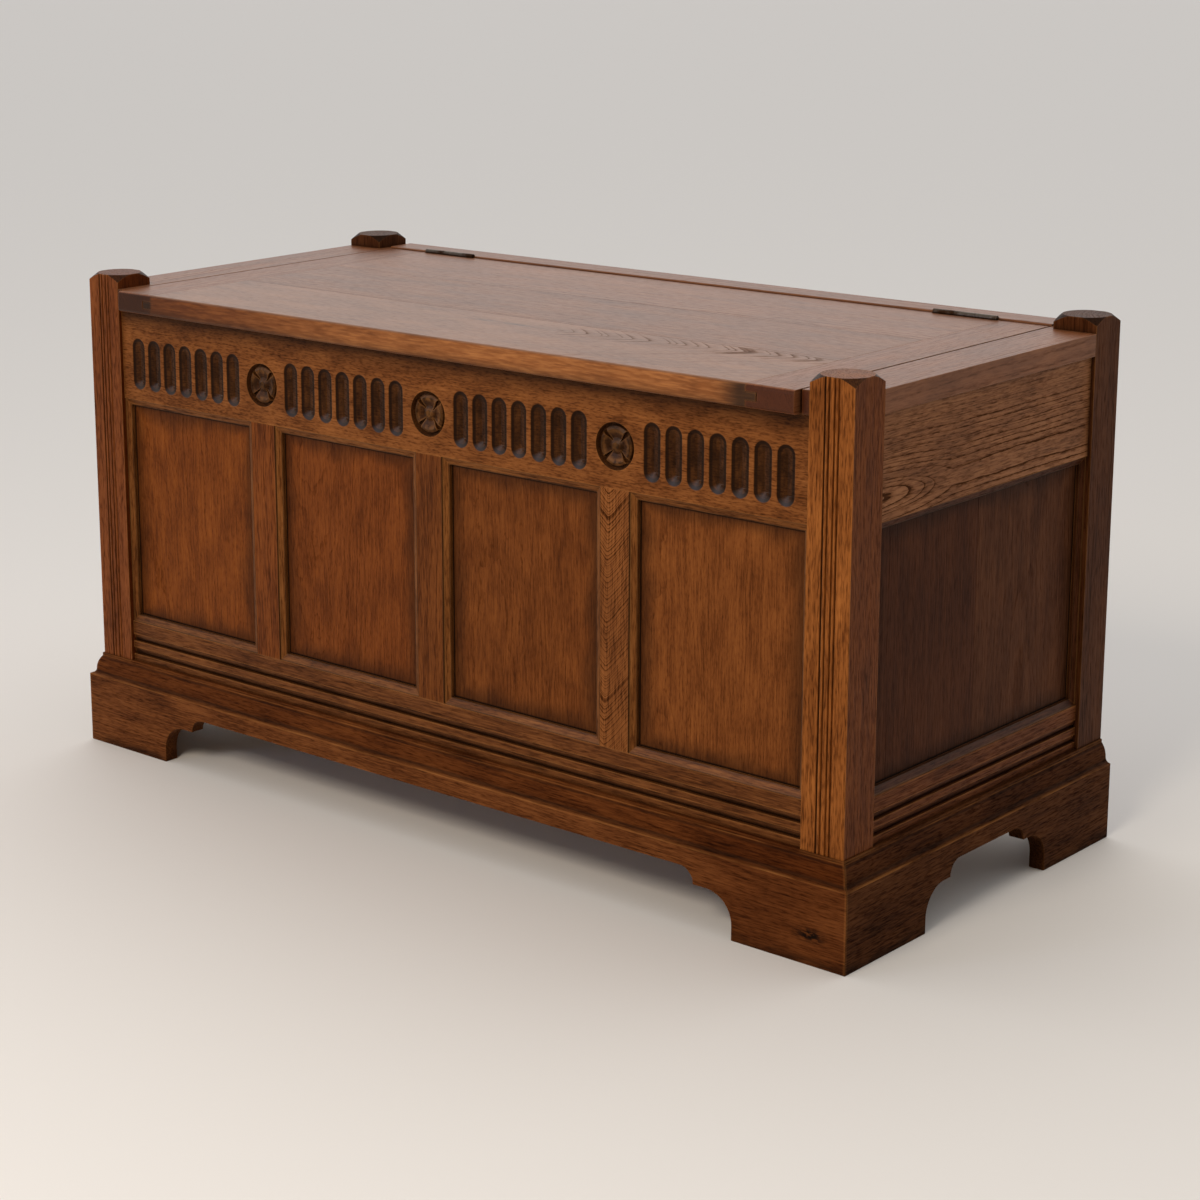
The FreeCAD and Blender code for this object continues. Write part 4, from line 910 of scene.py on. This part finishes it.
def dress_board(name, wood="waxed_oak", **changes):
    """Gives a board its finish along its own grain."""
    grain = grain_of(name)
    centre = middle_of(name)
    settings = {**chance_of(name), "grain": grain, **changes}
    dress(name, oak_finish(f"{wood}_{name}", lambda tree: board_coordinates(tree, grain, centre),
                           seed_of(name), **settings))


print("grain of the right top rail:", grain_of("right_top_rail"))

# %% [markdown]
# ## Posts
#
# Each front post has four V cuts down its face, which leave three reeds. Dark glaze lies in the
# cuts: heavy in the one by the left edge, thin and broken in the rest. The glaze could be painted
# on strips of the face, but a stain that grows with the depth behind the face fills just the
# cuts. The caps are shallow cones of end grain, so their slopes drink the most stain. The right
# front post gets a lighter middle tone than the left, which paints in the stronger light that
# falls on it, and the faces of both that look to the right are multiplied darker: painted shade
# on the side away from the lamps.

# %% Dress the posts
POST_FACE = -228 * MM         # face of the front posts
POST_MIDDLE = 492.75 * MM
STANDING_PATCH = (4 * MM, 4 * MM, 45 * MM)
BACK_POST = {"middle": "502C16", "streaks": 1.0, "fibre": 0.7, "gloss": 0.06, "end_tone": 0.1}
# The shade on faces that look to the right is painted shade on the side away from the lamps.
FRONT_POST = {"streaks": 0.9, "clouds": 0.7, "fibre": 0.9, "pores": 0.3, "gloss": 0.13,
              "wear": 0.5, "hollows": 0.12, "end_tone": 0.22,
              "shades": [(facing("x", 1, 0.5, 0.9), "C4B298")]}
cap_slope = product(facing("z", 1, 0.2, 0.4, 0.8), facing("z", 1, 0.995, 0.97))
glazed_cuts = glaze_behind("y", POST_FACE, -1, 0.1 * MM, 1.0 * MM, 0.9)
broken_glaze = product(glaze_behind("y", POST_FACE, -1, 0.1 * MM, 1.2 * MM, 0.62),
                       patches(STANDING_PATCH, 0.1))
# The right post's lighter middle tone paints in the stronger light that falls on it.
for name, middle, centre in (("post_front_left", "743E1C", -POST_MIDDLE),
                             ("post_front_right", "8A5022", POST_MIDDLE)):
    first_cut = product(glazed_cuts, band("x", centre - 4 * MM, centre - 6 * MM))
    dress_board(name, middle=middle, stains=[first_cut, broken_glaze, cap_slope], **FRONT_POST)
for name in ("post_back_left", "post_back_right"):
    dress_board(name, stains=[cap_slope], **BACK_POST)
print("posts dressed")

# %% [markdown]
# ## The carved top rail
#
# Twenty-eight flutes and three roundels are cut into this rail. The carver's glaze lies in each
# cut, a little thinner in patches; just inside the rim it is darkest, which is glaze and painted
# shade together. Wax has pooled on the foot of each flute and on the upward slopes of the
# roundels, where it glints, and the petals' tops are painted lighter brown, as rubbed wood and as
# a painted highlight. The rail is darker under the lid's edge: a painted shadow of the lid's
# overhang. All of it follows from depth, direction and height, so nothing is painted by hand.

# %% Dress the carved rail
FRONT_FACE = -224 * MM        # face of the front rails
ROUNDELS = (-243.25 * MM, 0.0, 243.25 * MM)
CARVED_PATCH = (5 * MM, 5 * MM, 16 * MM)
PETAL_PATCH = (5 * MM, 5 * MM, 7 * MM)
FLUTE_FOOT = (442 * MM, 432 * MM)
# a painted shadow of the lid's overhang darkens the rail between these heights
UNDER_LID = (484 * MM, 516 * MM)

carved = glaze_behind("y", FRONT_FACE, -1, 0.03 * MM, 0.4 * MM, 0.86)
# glaze and painted shade, darkest just inside each cut's rim
just_inside = product(glaze_behind("y", FRONT_FACE, -1, 0.1 * MM, 0.4 * MM, 0.95),
                      band("y", FRONT_FACE + 2.4 * MM, FRONT_FACE + 1.0 * MM))
# the petals' tops are painted lighter: rubbed wood and painted highlight
petal_tops = [product(ridge("x", place, 30 * MM), facing("y", -1, 0.75, 0.97, 0.55),
                      band("y", FRONT_FACE + 2.6 * MM, FRONT_FACE + 1.4 * MM),
                      band("y", FRONT_FACE + 0.05 * MM, FRONT_FACE + 0.3 * MM),
                      patches(PETAL_PATCH, 0.15)) for place in ROUNDELS]
waxed_slopes = [product(ridge("x", place, 38 * MM), facing("z", 1, 0.05, 0.35, 0.4))
                for place in ROUNDELS]
waxed_feet = product(band("z", *FLUTE_FOOT), facing("z", 1, 0.1, 0.3))
dress_board("front_top_rail", middle="7A4822", streaks=0.8, clouds=1.1, fibre=1.6, wear=0.7,
            gloss=0.11, rubs=petal_tops,
            stains=[product(carved, patches(CARVED_PATCH, 0.84)), just_inside,
                    band("z", *UNDER_LID, 0.75)],
            pooled=product(carved, either(waxed_feet, *waxed_slopes)))
print("carved rail dressed, with", len(ROUNDELS), "roundels")

# %% [markdown]
# ## The rest of the front frame
#
# The bottom rail has moulded runs with dark quirks between them. The muntins are plain uprights,
# but the right one was cut near the pith: its rings come out as a stack of pointed arches. A
# pith that passes just behind its face, with rings that taper like a cone, draws them. A thin
# dark line runs down each muntin's edges, where it meets the mouldings.

# %% Dress the bottom rail and the muntins
LOW_RAIL = {"streaks": 1.4, "fibre": 0.8, "hollows": 0.5}
QUIRKS = (0.6 * MM, 3.0 * MM, 0.85)      # glaze from this depth to this one, and how dark
MUNTIN_TONES = ("723B14", "663613", "804C24")
ARCHES = {"lean": (0, 0, -0.02), "rings": 0.7, "taper": -0.9, "ring_gap": 3.6 * MM,
          "wander": 5 * MM, "streaks": 0.6}

dress_board("front_bottom_rail", middle="693D1D", wear=0.9,
            stains=[glaze_behind("y", FRONT_FACE, -1, *QUIRKS)], **LOW_RAIL)
for number, middle in enumerate(MUNTIN_TONES, 1):
    name = f"front_muntin_{number}"
    low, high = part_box(name)
    behind_face = (low.y - high.y) / 2 + 1.5 * MM
    arches = {"pith": (0, behind_face, 10 * MM), **ARCHES} if number == 3 else {}
    dress_board(name, middle=middle, wear=0.3, fibre=0.8,
                stains=[edge_lines(low, high, "x", 0.6 * MM, 0.8)], **arches)
print("bottom rail and", len(MUNTIN_TONES), "muntins dressed")

# %% [markdown]
# ## Panels and their mouldings
#
# A panel is a thin board that stands loose in its frame. It was shaded with darker stain towards
# its edges before it was waxed, unevenly, by hand, and the same soft darkening also paints the
# shade that the frame casts; at the very edge a dark line is dirt and the moulding's painted
# shadow. The four strips round it are mitred, hold glaze in the step next to the panel, and
# catch a little wax on the sill. One function dresses a panel and its strips, since front and
# ends differ only in size, direction and tone.


# %% Dress the front panels
MOULDING_WIDTH = 7.3 * MM
BORDER_LINE = 2.4 * MM
STRIP_STEP = (3.4 * MM, 4.4 * MM, 0.9)


def dress_opening(panel, moulding, face, shade, seed, sill_wax, panel_recipe, strip_recipe):
    """Gives a panel and the strips round it their finish; face is an axis, place and sign."""
    low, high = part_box(moulding)
    across = "y" if face[0] == "x" else "x"
    rim = Vector((0, 0, MOULDING_WIDTH))
    rim[AXIS_NUMBER[across]] = MOULDING_WIDTH
    width, dark = shade
    # the panel's border: dirt and painted shadow at the edge, stain and painted shade inside it
    dress_board(panel, stains=[shaded_border(low + rim, high - rim, across, BORDER_LINE, width,
                                             0.95, dark)], **panel_recipe)
    dress(moulding,
          oak_finish(f"waxed_oak_{moulding}",
                     lambda tree: mitred_coordinates(tree, low, high, across), seed_of(seed),
                     stains=[edge_lines(low, high, across, 0.8 * MM, 0.92),
                             glaze_behind(*face, *STRIP_STEP)],
                     pooled=facing("z", 1, 0.15, 0.4, sill_wax), **strip_recipe))


PANEL_TONES = ("743C13", "6F3914", "6C3A16", "75411B")
for number, middle in enumerate(PANEL_TONES, 1):
    dress_opening(f"front_panel_{number}", f"front_moulding_{number}", ("y", FRONT_FACE, -1),
                  (24 * MM, 0.6), f"moulding {number}", 0.3,
                  {"middle": middle, "fibre": 1.5, "streaks": 0.9, "pores": 0.14,
                   "clouds": 0.8, "gloss": 0.12}, {"middle": "72441F", "streaks": 1.4})
print(len(PANEL_TONES), "front panels dressed")

# %% [markdown]
# ## Ends and back
#
# The top rail of each end is the boldest board of the chest. It was cut right through the middle
# of the log, so its rings run as long lines that close round the pith near the front. The pith
# therefore lies just under its face there, and leans inward. An end's panel is two boards glued
# edge to edge, which shows as a step of tone at the joint. The back stood against a wall, so it
# is plain and has no mouldings.

# %% Dress the ends and the back
END_FACE = 513 * MM       # face of the end rails, from the middle of the chest
PANEL_JOINT = 5 * MM      # where along y an end panel's two boards meet
JOINT_BLUR = 0.3 * MM
for side, outward in (("left", -1), ("right", 1)):
    face = ("x", END_FACE * outward, outward)
    dress_board(f"{side}_top_rail", middle="895A39", streaks=0.9, clouds=0.8, gloss=0.1,
                rings=0.9, line_width=0.75, ring_gap=4.0 * MM, ring_reach=80 * MM,
                wander=3.5 * MM, pith=(0, 18.9 * MM * outward, -28 * MM),
                lean=(0, 0.143 * outward, 0.0), lean_to=-65 * MM)
    dress_board(f"{side}_bottom_rail", middle="64381E", wear=0.8, gloss=0.06,
                stains=[glaze_behind(*face, *QUIRKS)], **LOW_RAIL)
    second_board = band("y", PANEL_JOINT + JOINT_BLUR, PANEL_JOINT - JOINT_BLUR)
    dress_opening(f"{side}_panel", f"{side}_moulding", face, (22 * MM, 0.5), f"{side} moulding",
                  0.2, {"middle": "54301B", "fibre": 0.9, "streaks": 0.8, "pores": 0.16,
                        "gloss": 0.05, "shades": [(second_board, "E2D8D2")]},
                  {"middle": "482614", "streaks": 1.2, "gloss": 0.08})
for name in ("back_top_rail", "back_bottom_rail", "back_muntin"):
    dress_board(name, middle="643A1E", streaks=0.9, clouds=0.8)
for name in ("back_panel_1", "back_panel_2"):
    dress_board(name, middle="5C351B", streaks=0.9, clouds=0.8)
print("ends and back dressed")

# %% [markdown]
# ## The lid and the fixed boards round it
#
# Three long boards lie between two cleats. The top has been waxed and wiped most, so it has the
# most gloss and the smoothest grain, and its reflection tint is close to white. The front board
# shows two marks of its own: rings that come out in points where the board was cut near the
# pith, drawn as for the muntin but wider, and a short dark streak. Its front edge faces the lamp
# and is painted lighter than its faces, a painted pool of light, but dark at the ends and along
# the lower arris. So that edge sets the board's middle tone and the faces are shaded back, which
# keeps the painted light on the edge alone.

# %% Finish of the lid
LID_FINISH = {"gloss": 0.26, "tint": "EAD1B2", "roughness": 0.37, "wear": 0.3,
              "clouds": 0.7, "streaks": 0.45, "pores": 0.12, "relief": 0.07, "fibre": 0.9}
FIXED_FINISH = {**LID_FINISH, "middle": "7A4A2C", "gloss": 0.25}
front_edge = facing("y", -1, 0.5, 0.8)
top_face = facing("z", 1, 0.5, 0.8)
under_face = facing("z", -1, 0.5, 0.8)
seams = [ridge("y", place, 0.8 * MM, 0.6) for place in (-90.33 * MM, 56.33 * MM)]
print("lid finish with a gloss of", LID_FINISH["gloss"])

# %% Dress the lid's front board
EDGE_PATCH = (26 * MM, 26 * MM, 3.2 * MM)
STREAK_PATCH = (20 * MM, 3 * MM, 20 * MM)
LID_HALF = 11.5 * MM          # half the lid's thickness
dark_streak = product(top_face, ridge("y", -127 * MM, 6 * MM, 0.5),
                      band("x", -50 * MM, -5 * MM), band("x", 85 * MM, 35 * MM),
                      patches(STREAK_PATCH, 0.2))
# Painted light: the top and under faces are shaded back so the front edge stays lighter; the edge
# darkens towards its left end, and in patches.
edge_shades = [(either(top_face, under_face), "CFD8FF"),
               (product(front_edge, band("x", 50 * MM, -400 * MM)), "B8A48E"),
               (product(front_edge, patches(EDGE_PATCH, 0.0)), "D8CCBE")]
edge_stains = [product(front_edge, band("x", 366 * MM, 400 * MM, 0.86)),
               product(front_edge, band("x", -401 * MM, -406 * MM, 0.84)),
               product(front_edge, band("z", 526 * MM, 515 * MM, 0.4))]
dress_board("lid_board_1", middle="9C6234", rings=0.5, ring_reach=24 * MM, line_width=0.8,
            taper=0.8, ring_gap=12 * MM, wander=5 * MM,
            ring_where=product(top_face, band("x", 85 * MM, 110 * MM)),
            pith=(0, 27 * MM, LID_HALF - 4 * MM), lean=(0, 0.092, 0), lean_from=95 * MM,
            shades=edge_shades, stains=[dark_streak, *edge_stains, seams[0]], **LID_FINISH)
print("front board of the lid dressed")

# %% Dress the other boards of the top
for name, middle in (("lid_board_2", "784C30"), ("lid_board_3", "805236")):
    dress_board(name, rings=0.14, stains=seams, **{**LID_FINISH, "middle": middle,
                                                   "tint": "E8D2BA"})
for name in ("lid_cleat_left", "lid_cleat_right", "left_top_board", "right_top_board"):
    dress_board(name, end_tone=0.84 if "left" in name else 0.72,
                shades=[(front_edge, "FFC8A8")], **FIXED_FINISH)
dress_board("back_top_board", end_tone=0.7, **FIXED_FINISH)
print("lid and fixed boards dressed")

# %% [markdown]
# ## Plinth
#
# The plinth takes the kicks and the mop. Its grain is open and dull with little wax left. The
# two arrises of its moulding are painted lighter in places, as rubbed wood and as painted
# highlights, and the corners below them are darker, dirt and painted shade together. Along the
# floor it is darker still in patches, a painted contact shadow. The right foot has one old dent,
# which is drawn as a cluster of dark patches since it is hardly deeper than the grain. The ends
# get less light and wax, and are darker.

# %% Dress the plinth
PLINTH_FACE = 81 * MM         # top of the plinth's flat face
PLINTH_OVOLO = 102 * MM       # top of its rounded member
RUBBED = (50 * MM, 50 * MM, 50 * MM)
SCUFF = (30 * MM, 30 * MM, 9 * MM)
DENT = (7 * MM, 7 * MM, 2.2 * MM)
# The arrises are painted lighter: rubbed wood and painted highlights.
arrises = [product(ridge("z", PLINTH_FACE - 0.6 * MM, 1.1 * MM, 0.7), patches(RUBBED, 0.25)),
           product(ridge("z", PLINTH_OVOLO + 0.4 * MM, 0.8 * MM, 0.5), patches(RUBBED, 0.25))]
# Darker below the arrises, dirt and painted shade; a painted contact shadow along the floor, in
# patches; and the dent.
plinth_dirt = [ridge("z", PLINTH_FACE + 2.4 * MM, 2.4 * MM, 0.6),
               ridge("z", PLINTH_OVOLO - 1.6 * MM, 1.4 * MM, 0.5),
               product(band("z", 14 * MM, 0.0, 0.75), patches(SCUFF, 0.3)),
               product(ridge("x", 490 * MM, 22 * MM), ridge("z", 30 * MM, 9 * MM),
                       patches(DENT, 0.0))]
moulded_part = band("z", PLINTH_FACE, PLINTH_FACE + 5 * MM)
FRONT_PLINTH = {"middle": "6B3D1D", "pores": 0.24, "gloss": 0.07,
                "shades": [(moulded_part, "D6C8B4"), (band("x", 300 * MM, 420 * MM), "DACFC6")]}
END_PLINTH = {"middle": "502E17", "pores": 0.34, "gloss": 0.03,
              "shades": [(moulded_part, "E4DCD2")]}
for name, changes in (("plinth_front", FRONT_PLINTH), ("plinth_left", END_PLINTH),
                      ("plinth_right", END_PLINTH)):
    dress_board(name, wear=0.3, streaks=1.2, clouds=1.1, fibre=0.9, roughness=0.55,
                rubs=arrises, stains=plinth_dirt, **changes)
print("plinth dressed")

# %% [markdown]
# ## Bottom boards
#
# The bottom was never seen, so it is bare softwood, planed and left to darken. Softwood has no
# wide pores; its figure is broad soft rings. The same figure gives it, with wide lines and
# almost no pores, and without wax it is dull.

# %% Dress the bottom
SOFTWOOD = {"middle": "A98558", "gloss": 0.1, "roughness": 0.72, "end_tone": 0.25, "pores": 0.03,
            "rings": 0.34, "line_width": 2.6, "ring_gap": 4.5 * MM, "streaks": 0.5, "wear": 0.1}
bottom_names = [name for name in sorted(nodes) if name.startswith("bottom")]
for name in bottom_names:
    dress_board(name, wood="bare_softwood", **SOFTWOOD)
print(len(bottom_names), "bottom pieces dressed")

# %% [markdown]
# ## Hinges
#
# The lid hangs on two steel butt hinges. Old steel that is never polished turns dark and uneven:
# patches of brown oxide lie between places that fingers and cloths keep bright. It stays a
# metal, so its colour is in its reflections, and the oxide only dulls it. Two scales of noise
# give the fine mottling and the wide patches.

# %% Aged steel
MOTTLE, OXIDE_PATCH = 3 * MM, 14 * MM
OXIDE_FROM, OXIDE_TO = 0.48, 0.62      # noise between clean steel and full oxide
CLEAN_ROUGHNESS, OXIDE_DULLNESS = 0.38, 0.25


def aged_steel(name, dark, bright, oxide):
    material = bpy.data.materials.new(name)
    material.use_nodes = True
    tree = material.node_tree
    shader = tree.nodes["Principled BSDF"]
    place = add_node(tree, "ShaderNodeTexCoord").outputs["Object"]
    fine = add_node(tree, "ShaderNodeTexNoise", {"Vector": place, "Scale": 1 / MOTTLE,
                                                 "Detail": 4.0}).outputs["Fac"]
    wide = add_node(tree, "ShaderNodeTexNoise", {"Vector": place, "Scale": 1 / OXIDE_PATCH,
                                                 "Detail": 3.0}).outputs["Fac"]
    metal = add_node(tree, "ShaderNodeMix", {"Factor": fine, "A": linear(dark),
                                             "B": linear(bright)}, data_type="RGBA")
    rust = add_node(tree, "ShaderNodeMapRange", {"Value": wide, "From Min": OXIDE_FROM,
                                                 "From Max": OXIDE_TO}).outputs[0]
    colour = add_node(tree, "ShaderNodeMix", {"Factor": rust, "A": metal.outputs["Result"],
                                              "B": linear(oxide)}, data_type="RGBA")
    tree.links.new(colour.outputs["Result"], shader.inputs["Base Color"])
    shader.inputs["Metallic"].default_value = 1.0
    rough = add_node(tree, "ShaderNodeMath", {0: rust, 1: OXIDE_DULLNESS,
                                              2: CLEAN_ROUGHNESS},
                     operation="MULTIPLY_ADD").outputs[0]
    tree.links.new(rough, shader.inputs["Roughness"])
    bump = add_node(tree, "ShaderNodeBump", {"Height": fine, "Strength": 0.3,
                                             "Distance": 0.1 * MM}).outputs[0]
    tree.links.new(bump, shader.inputs["Normal"])
    return material


# dull grey-brown steel, its bright places, and brown oxide; the near-black slot floors are dirt and
# painted shade
steel = aged_steel("aged_steel", "332C27", "766B60", "3A2516")
slot_floor = aged_steel("aged_steel_slot_floor", "0C0A09", "1E1A17", "140C07")
for name in nodes:
    if name.startswith("hinge"):
        dress(name, steel)
print("hinges dressed")

# %% [markdown]
# ## Screw heads
#
# Each leaf is held by three slotted screws, sunk level with it. A slot could be cut with a
# boolean, but two half discs over a small near-black floor leave the same real slot between them
# and make a clean mesh; the floor's dark colour is dirt and painted shade in the slot. Nobody
# turns every screw to the same angle, so the slots point anywhere.

# %% Sizes of the screws
SCREW_RADIUS = 2.8 * MM
SLOT_HALF = 0.4 * MM
HEAD_PROUD = 0.12 * MM
HEAD_SUNK = 0.2 * MM      # the head's underside, inside the leaf
HEAD_RIM = 0.25 * MM      # a small slope round the head
SCREW_STEPS = (-26 * MM, 0.0, 26 * MM)
HINGE_MIDDLE = 360.2 * MM
SCREW_HEIGHT = 526.35 * MM
FIXED_LEAF_FACE = 204.2 * MM
LID_LEAF_FACE = 203.8 * MM
ARC_STEPS = 14
SLOT_FLOOR_WIDTH = 0.97   # the dark floor is a little smaller than the head
SLOT_FLOOR_HEIGHT = 0.02 * MM
print("screw heads", round(2 * SCREW_RADIUS / MM, 1), "mm across")


# %% One screw head
def screw_head(name, centre, outward, turn, body):
    """A slotted head that faces along y, outward 1 or -1, with its slot turned."""
    shape = bmesh.new()
    spin = Matrix.Rotation(turn, 3, "Y")

    def ring_points(points, depth):
        return [shape.verts.new(Vector(centre) + spin @ Vector((x, 0, z))
                                + Vector((0, outward * depth, 0))) for x, z in points]

    def stack(levels, material_number):
        """Joins rings of points, each at its depth, to a closed solid."""
        rings = [ring_points(points, depth) for points, depth in levels]
        for lower, upper in zip(rings, rings[1:]):
            for index in range(len(lower)):
                following = (index + 1) % len(lower)
                shape.faces.new((lower[index], lower[following],
                                 upper[following],
                                 upper[index])).material_index = material_number
        for ring_of in (rings[0], rings[-1]):
            shape.faces.new(ring_of).material_index = material_number

    def half_disc(radius, side):
        reach = math.acos(SLOT_HALF / radius)
        steps = [-reach + 2 * reach * step / ARC_STEPS for step in range(ARC_STEPS + 1)]
        return [(side * radius * math.cos(angle), radius * math.sin(angle)) for angle in steps]

    for side in (-1, 1):
        wide = half_disc(SCREW_RADIUS, side)
        narrow = half_disc(SCREW_RADIUS - HEAD_RIM, side)
        stack([(wide, -HEAD_SUNK), (wide, HEAD_PROUD / 3), (narrow, HEAD_PROUD)], 0)
    floor_radius = SLOT_FLOOR_WIDTH * SCREW_RADIUS
    turns_round = [math.tau * step / (2 * ARC_STEPS) for step in range(2 * ARC_STEPS)]
    circle = [(floor_radius * math.cos(angle), floor_radius * math.sin(angle))
              for angle in turns_round]
    stack([(circle, -HEAD_SUNK), (circle, SLOT_FLOOR_HEIGHT)], 1)
    bmesh.ops.recalc_face_normals(shape, faces=shape.faces)
    mesh = bpy.data.meshes.new(name)
    shape.to_mesh(mesh)
    shape.free()
    mesh.materials.append(steel)
    mesh.materials.append(slot_floor)
    piece = bpy.data.objects.new(name, mesh)
    bpy.context.collection.objects.link(piece)
    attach(piece, body)


print("a head has two halves of", ARC_STEPS, "steps each")

# %% Place the screws
turns = random.Random(7)
for side, hinge_x in (("left", -HINGE_MIDDLE), ("right", HINGE_MIDDLE)):
    for number, step in enumerate(SCREW_STEPS, 1):
        for leaf, face, outward, body in (("fixed", FIXED_LEAF_FACE, -1, "root"),
                                          ("lid", LID_LEAF_FACE, 1, "lid")):
            screw_head(f"screw_{leaf}_{side}_{number}", (hinge_x + step, face, SCREW_HEIGHT),
                       outward, turns.uniform(0, math.pi), body)
print("12 screw heads, each", round(HEAD_PROUD / MM, 2), "mm proud of its leaf")

# %% [markdown]
# ## Measure and finish
#
# Eased edges and screws must not make the chest larger than its solids. So its box is measured
# again.

# %% Measure the box and finish
low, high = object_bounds()
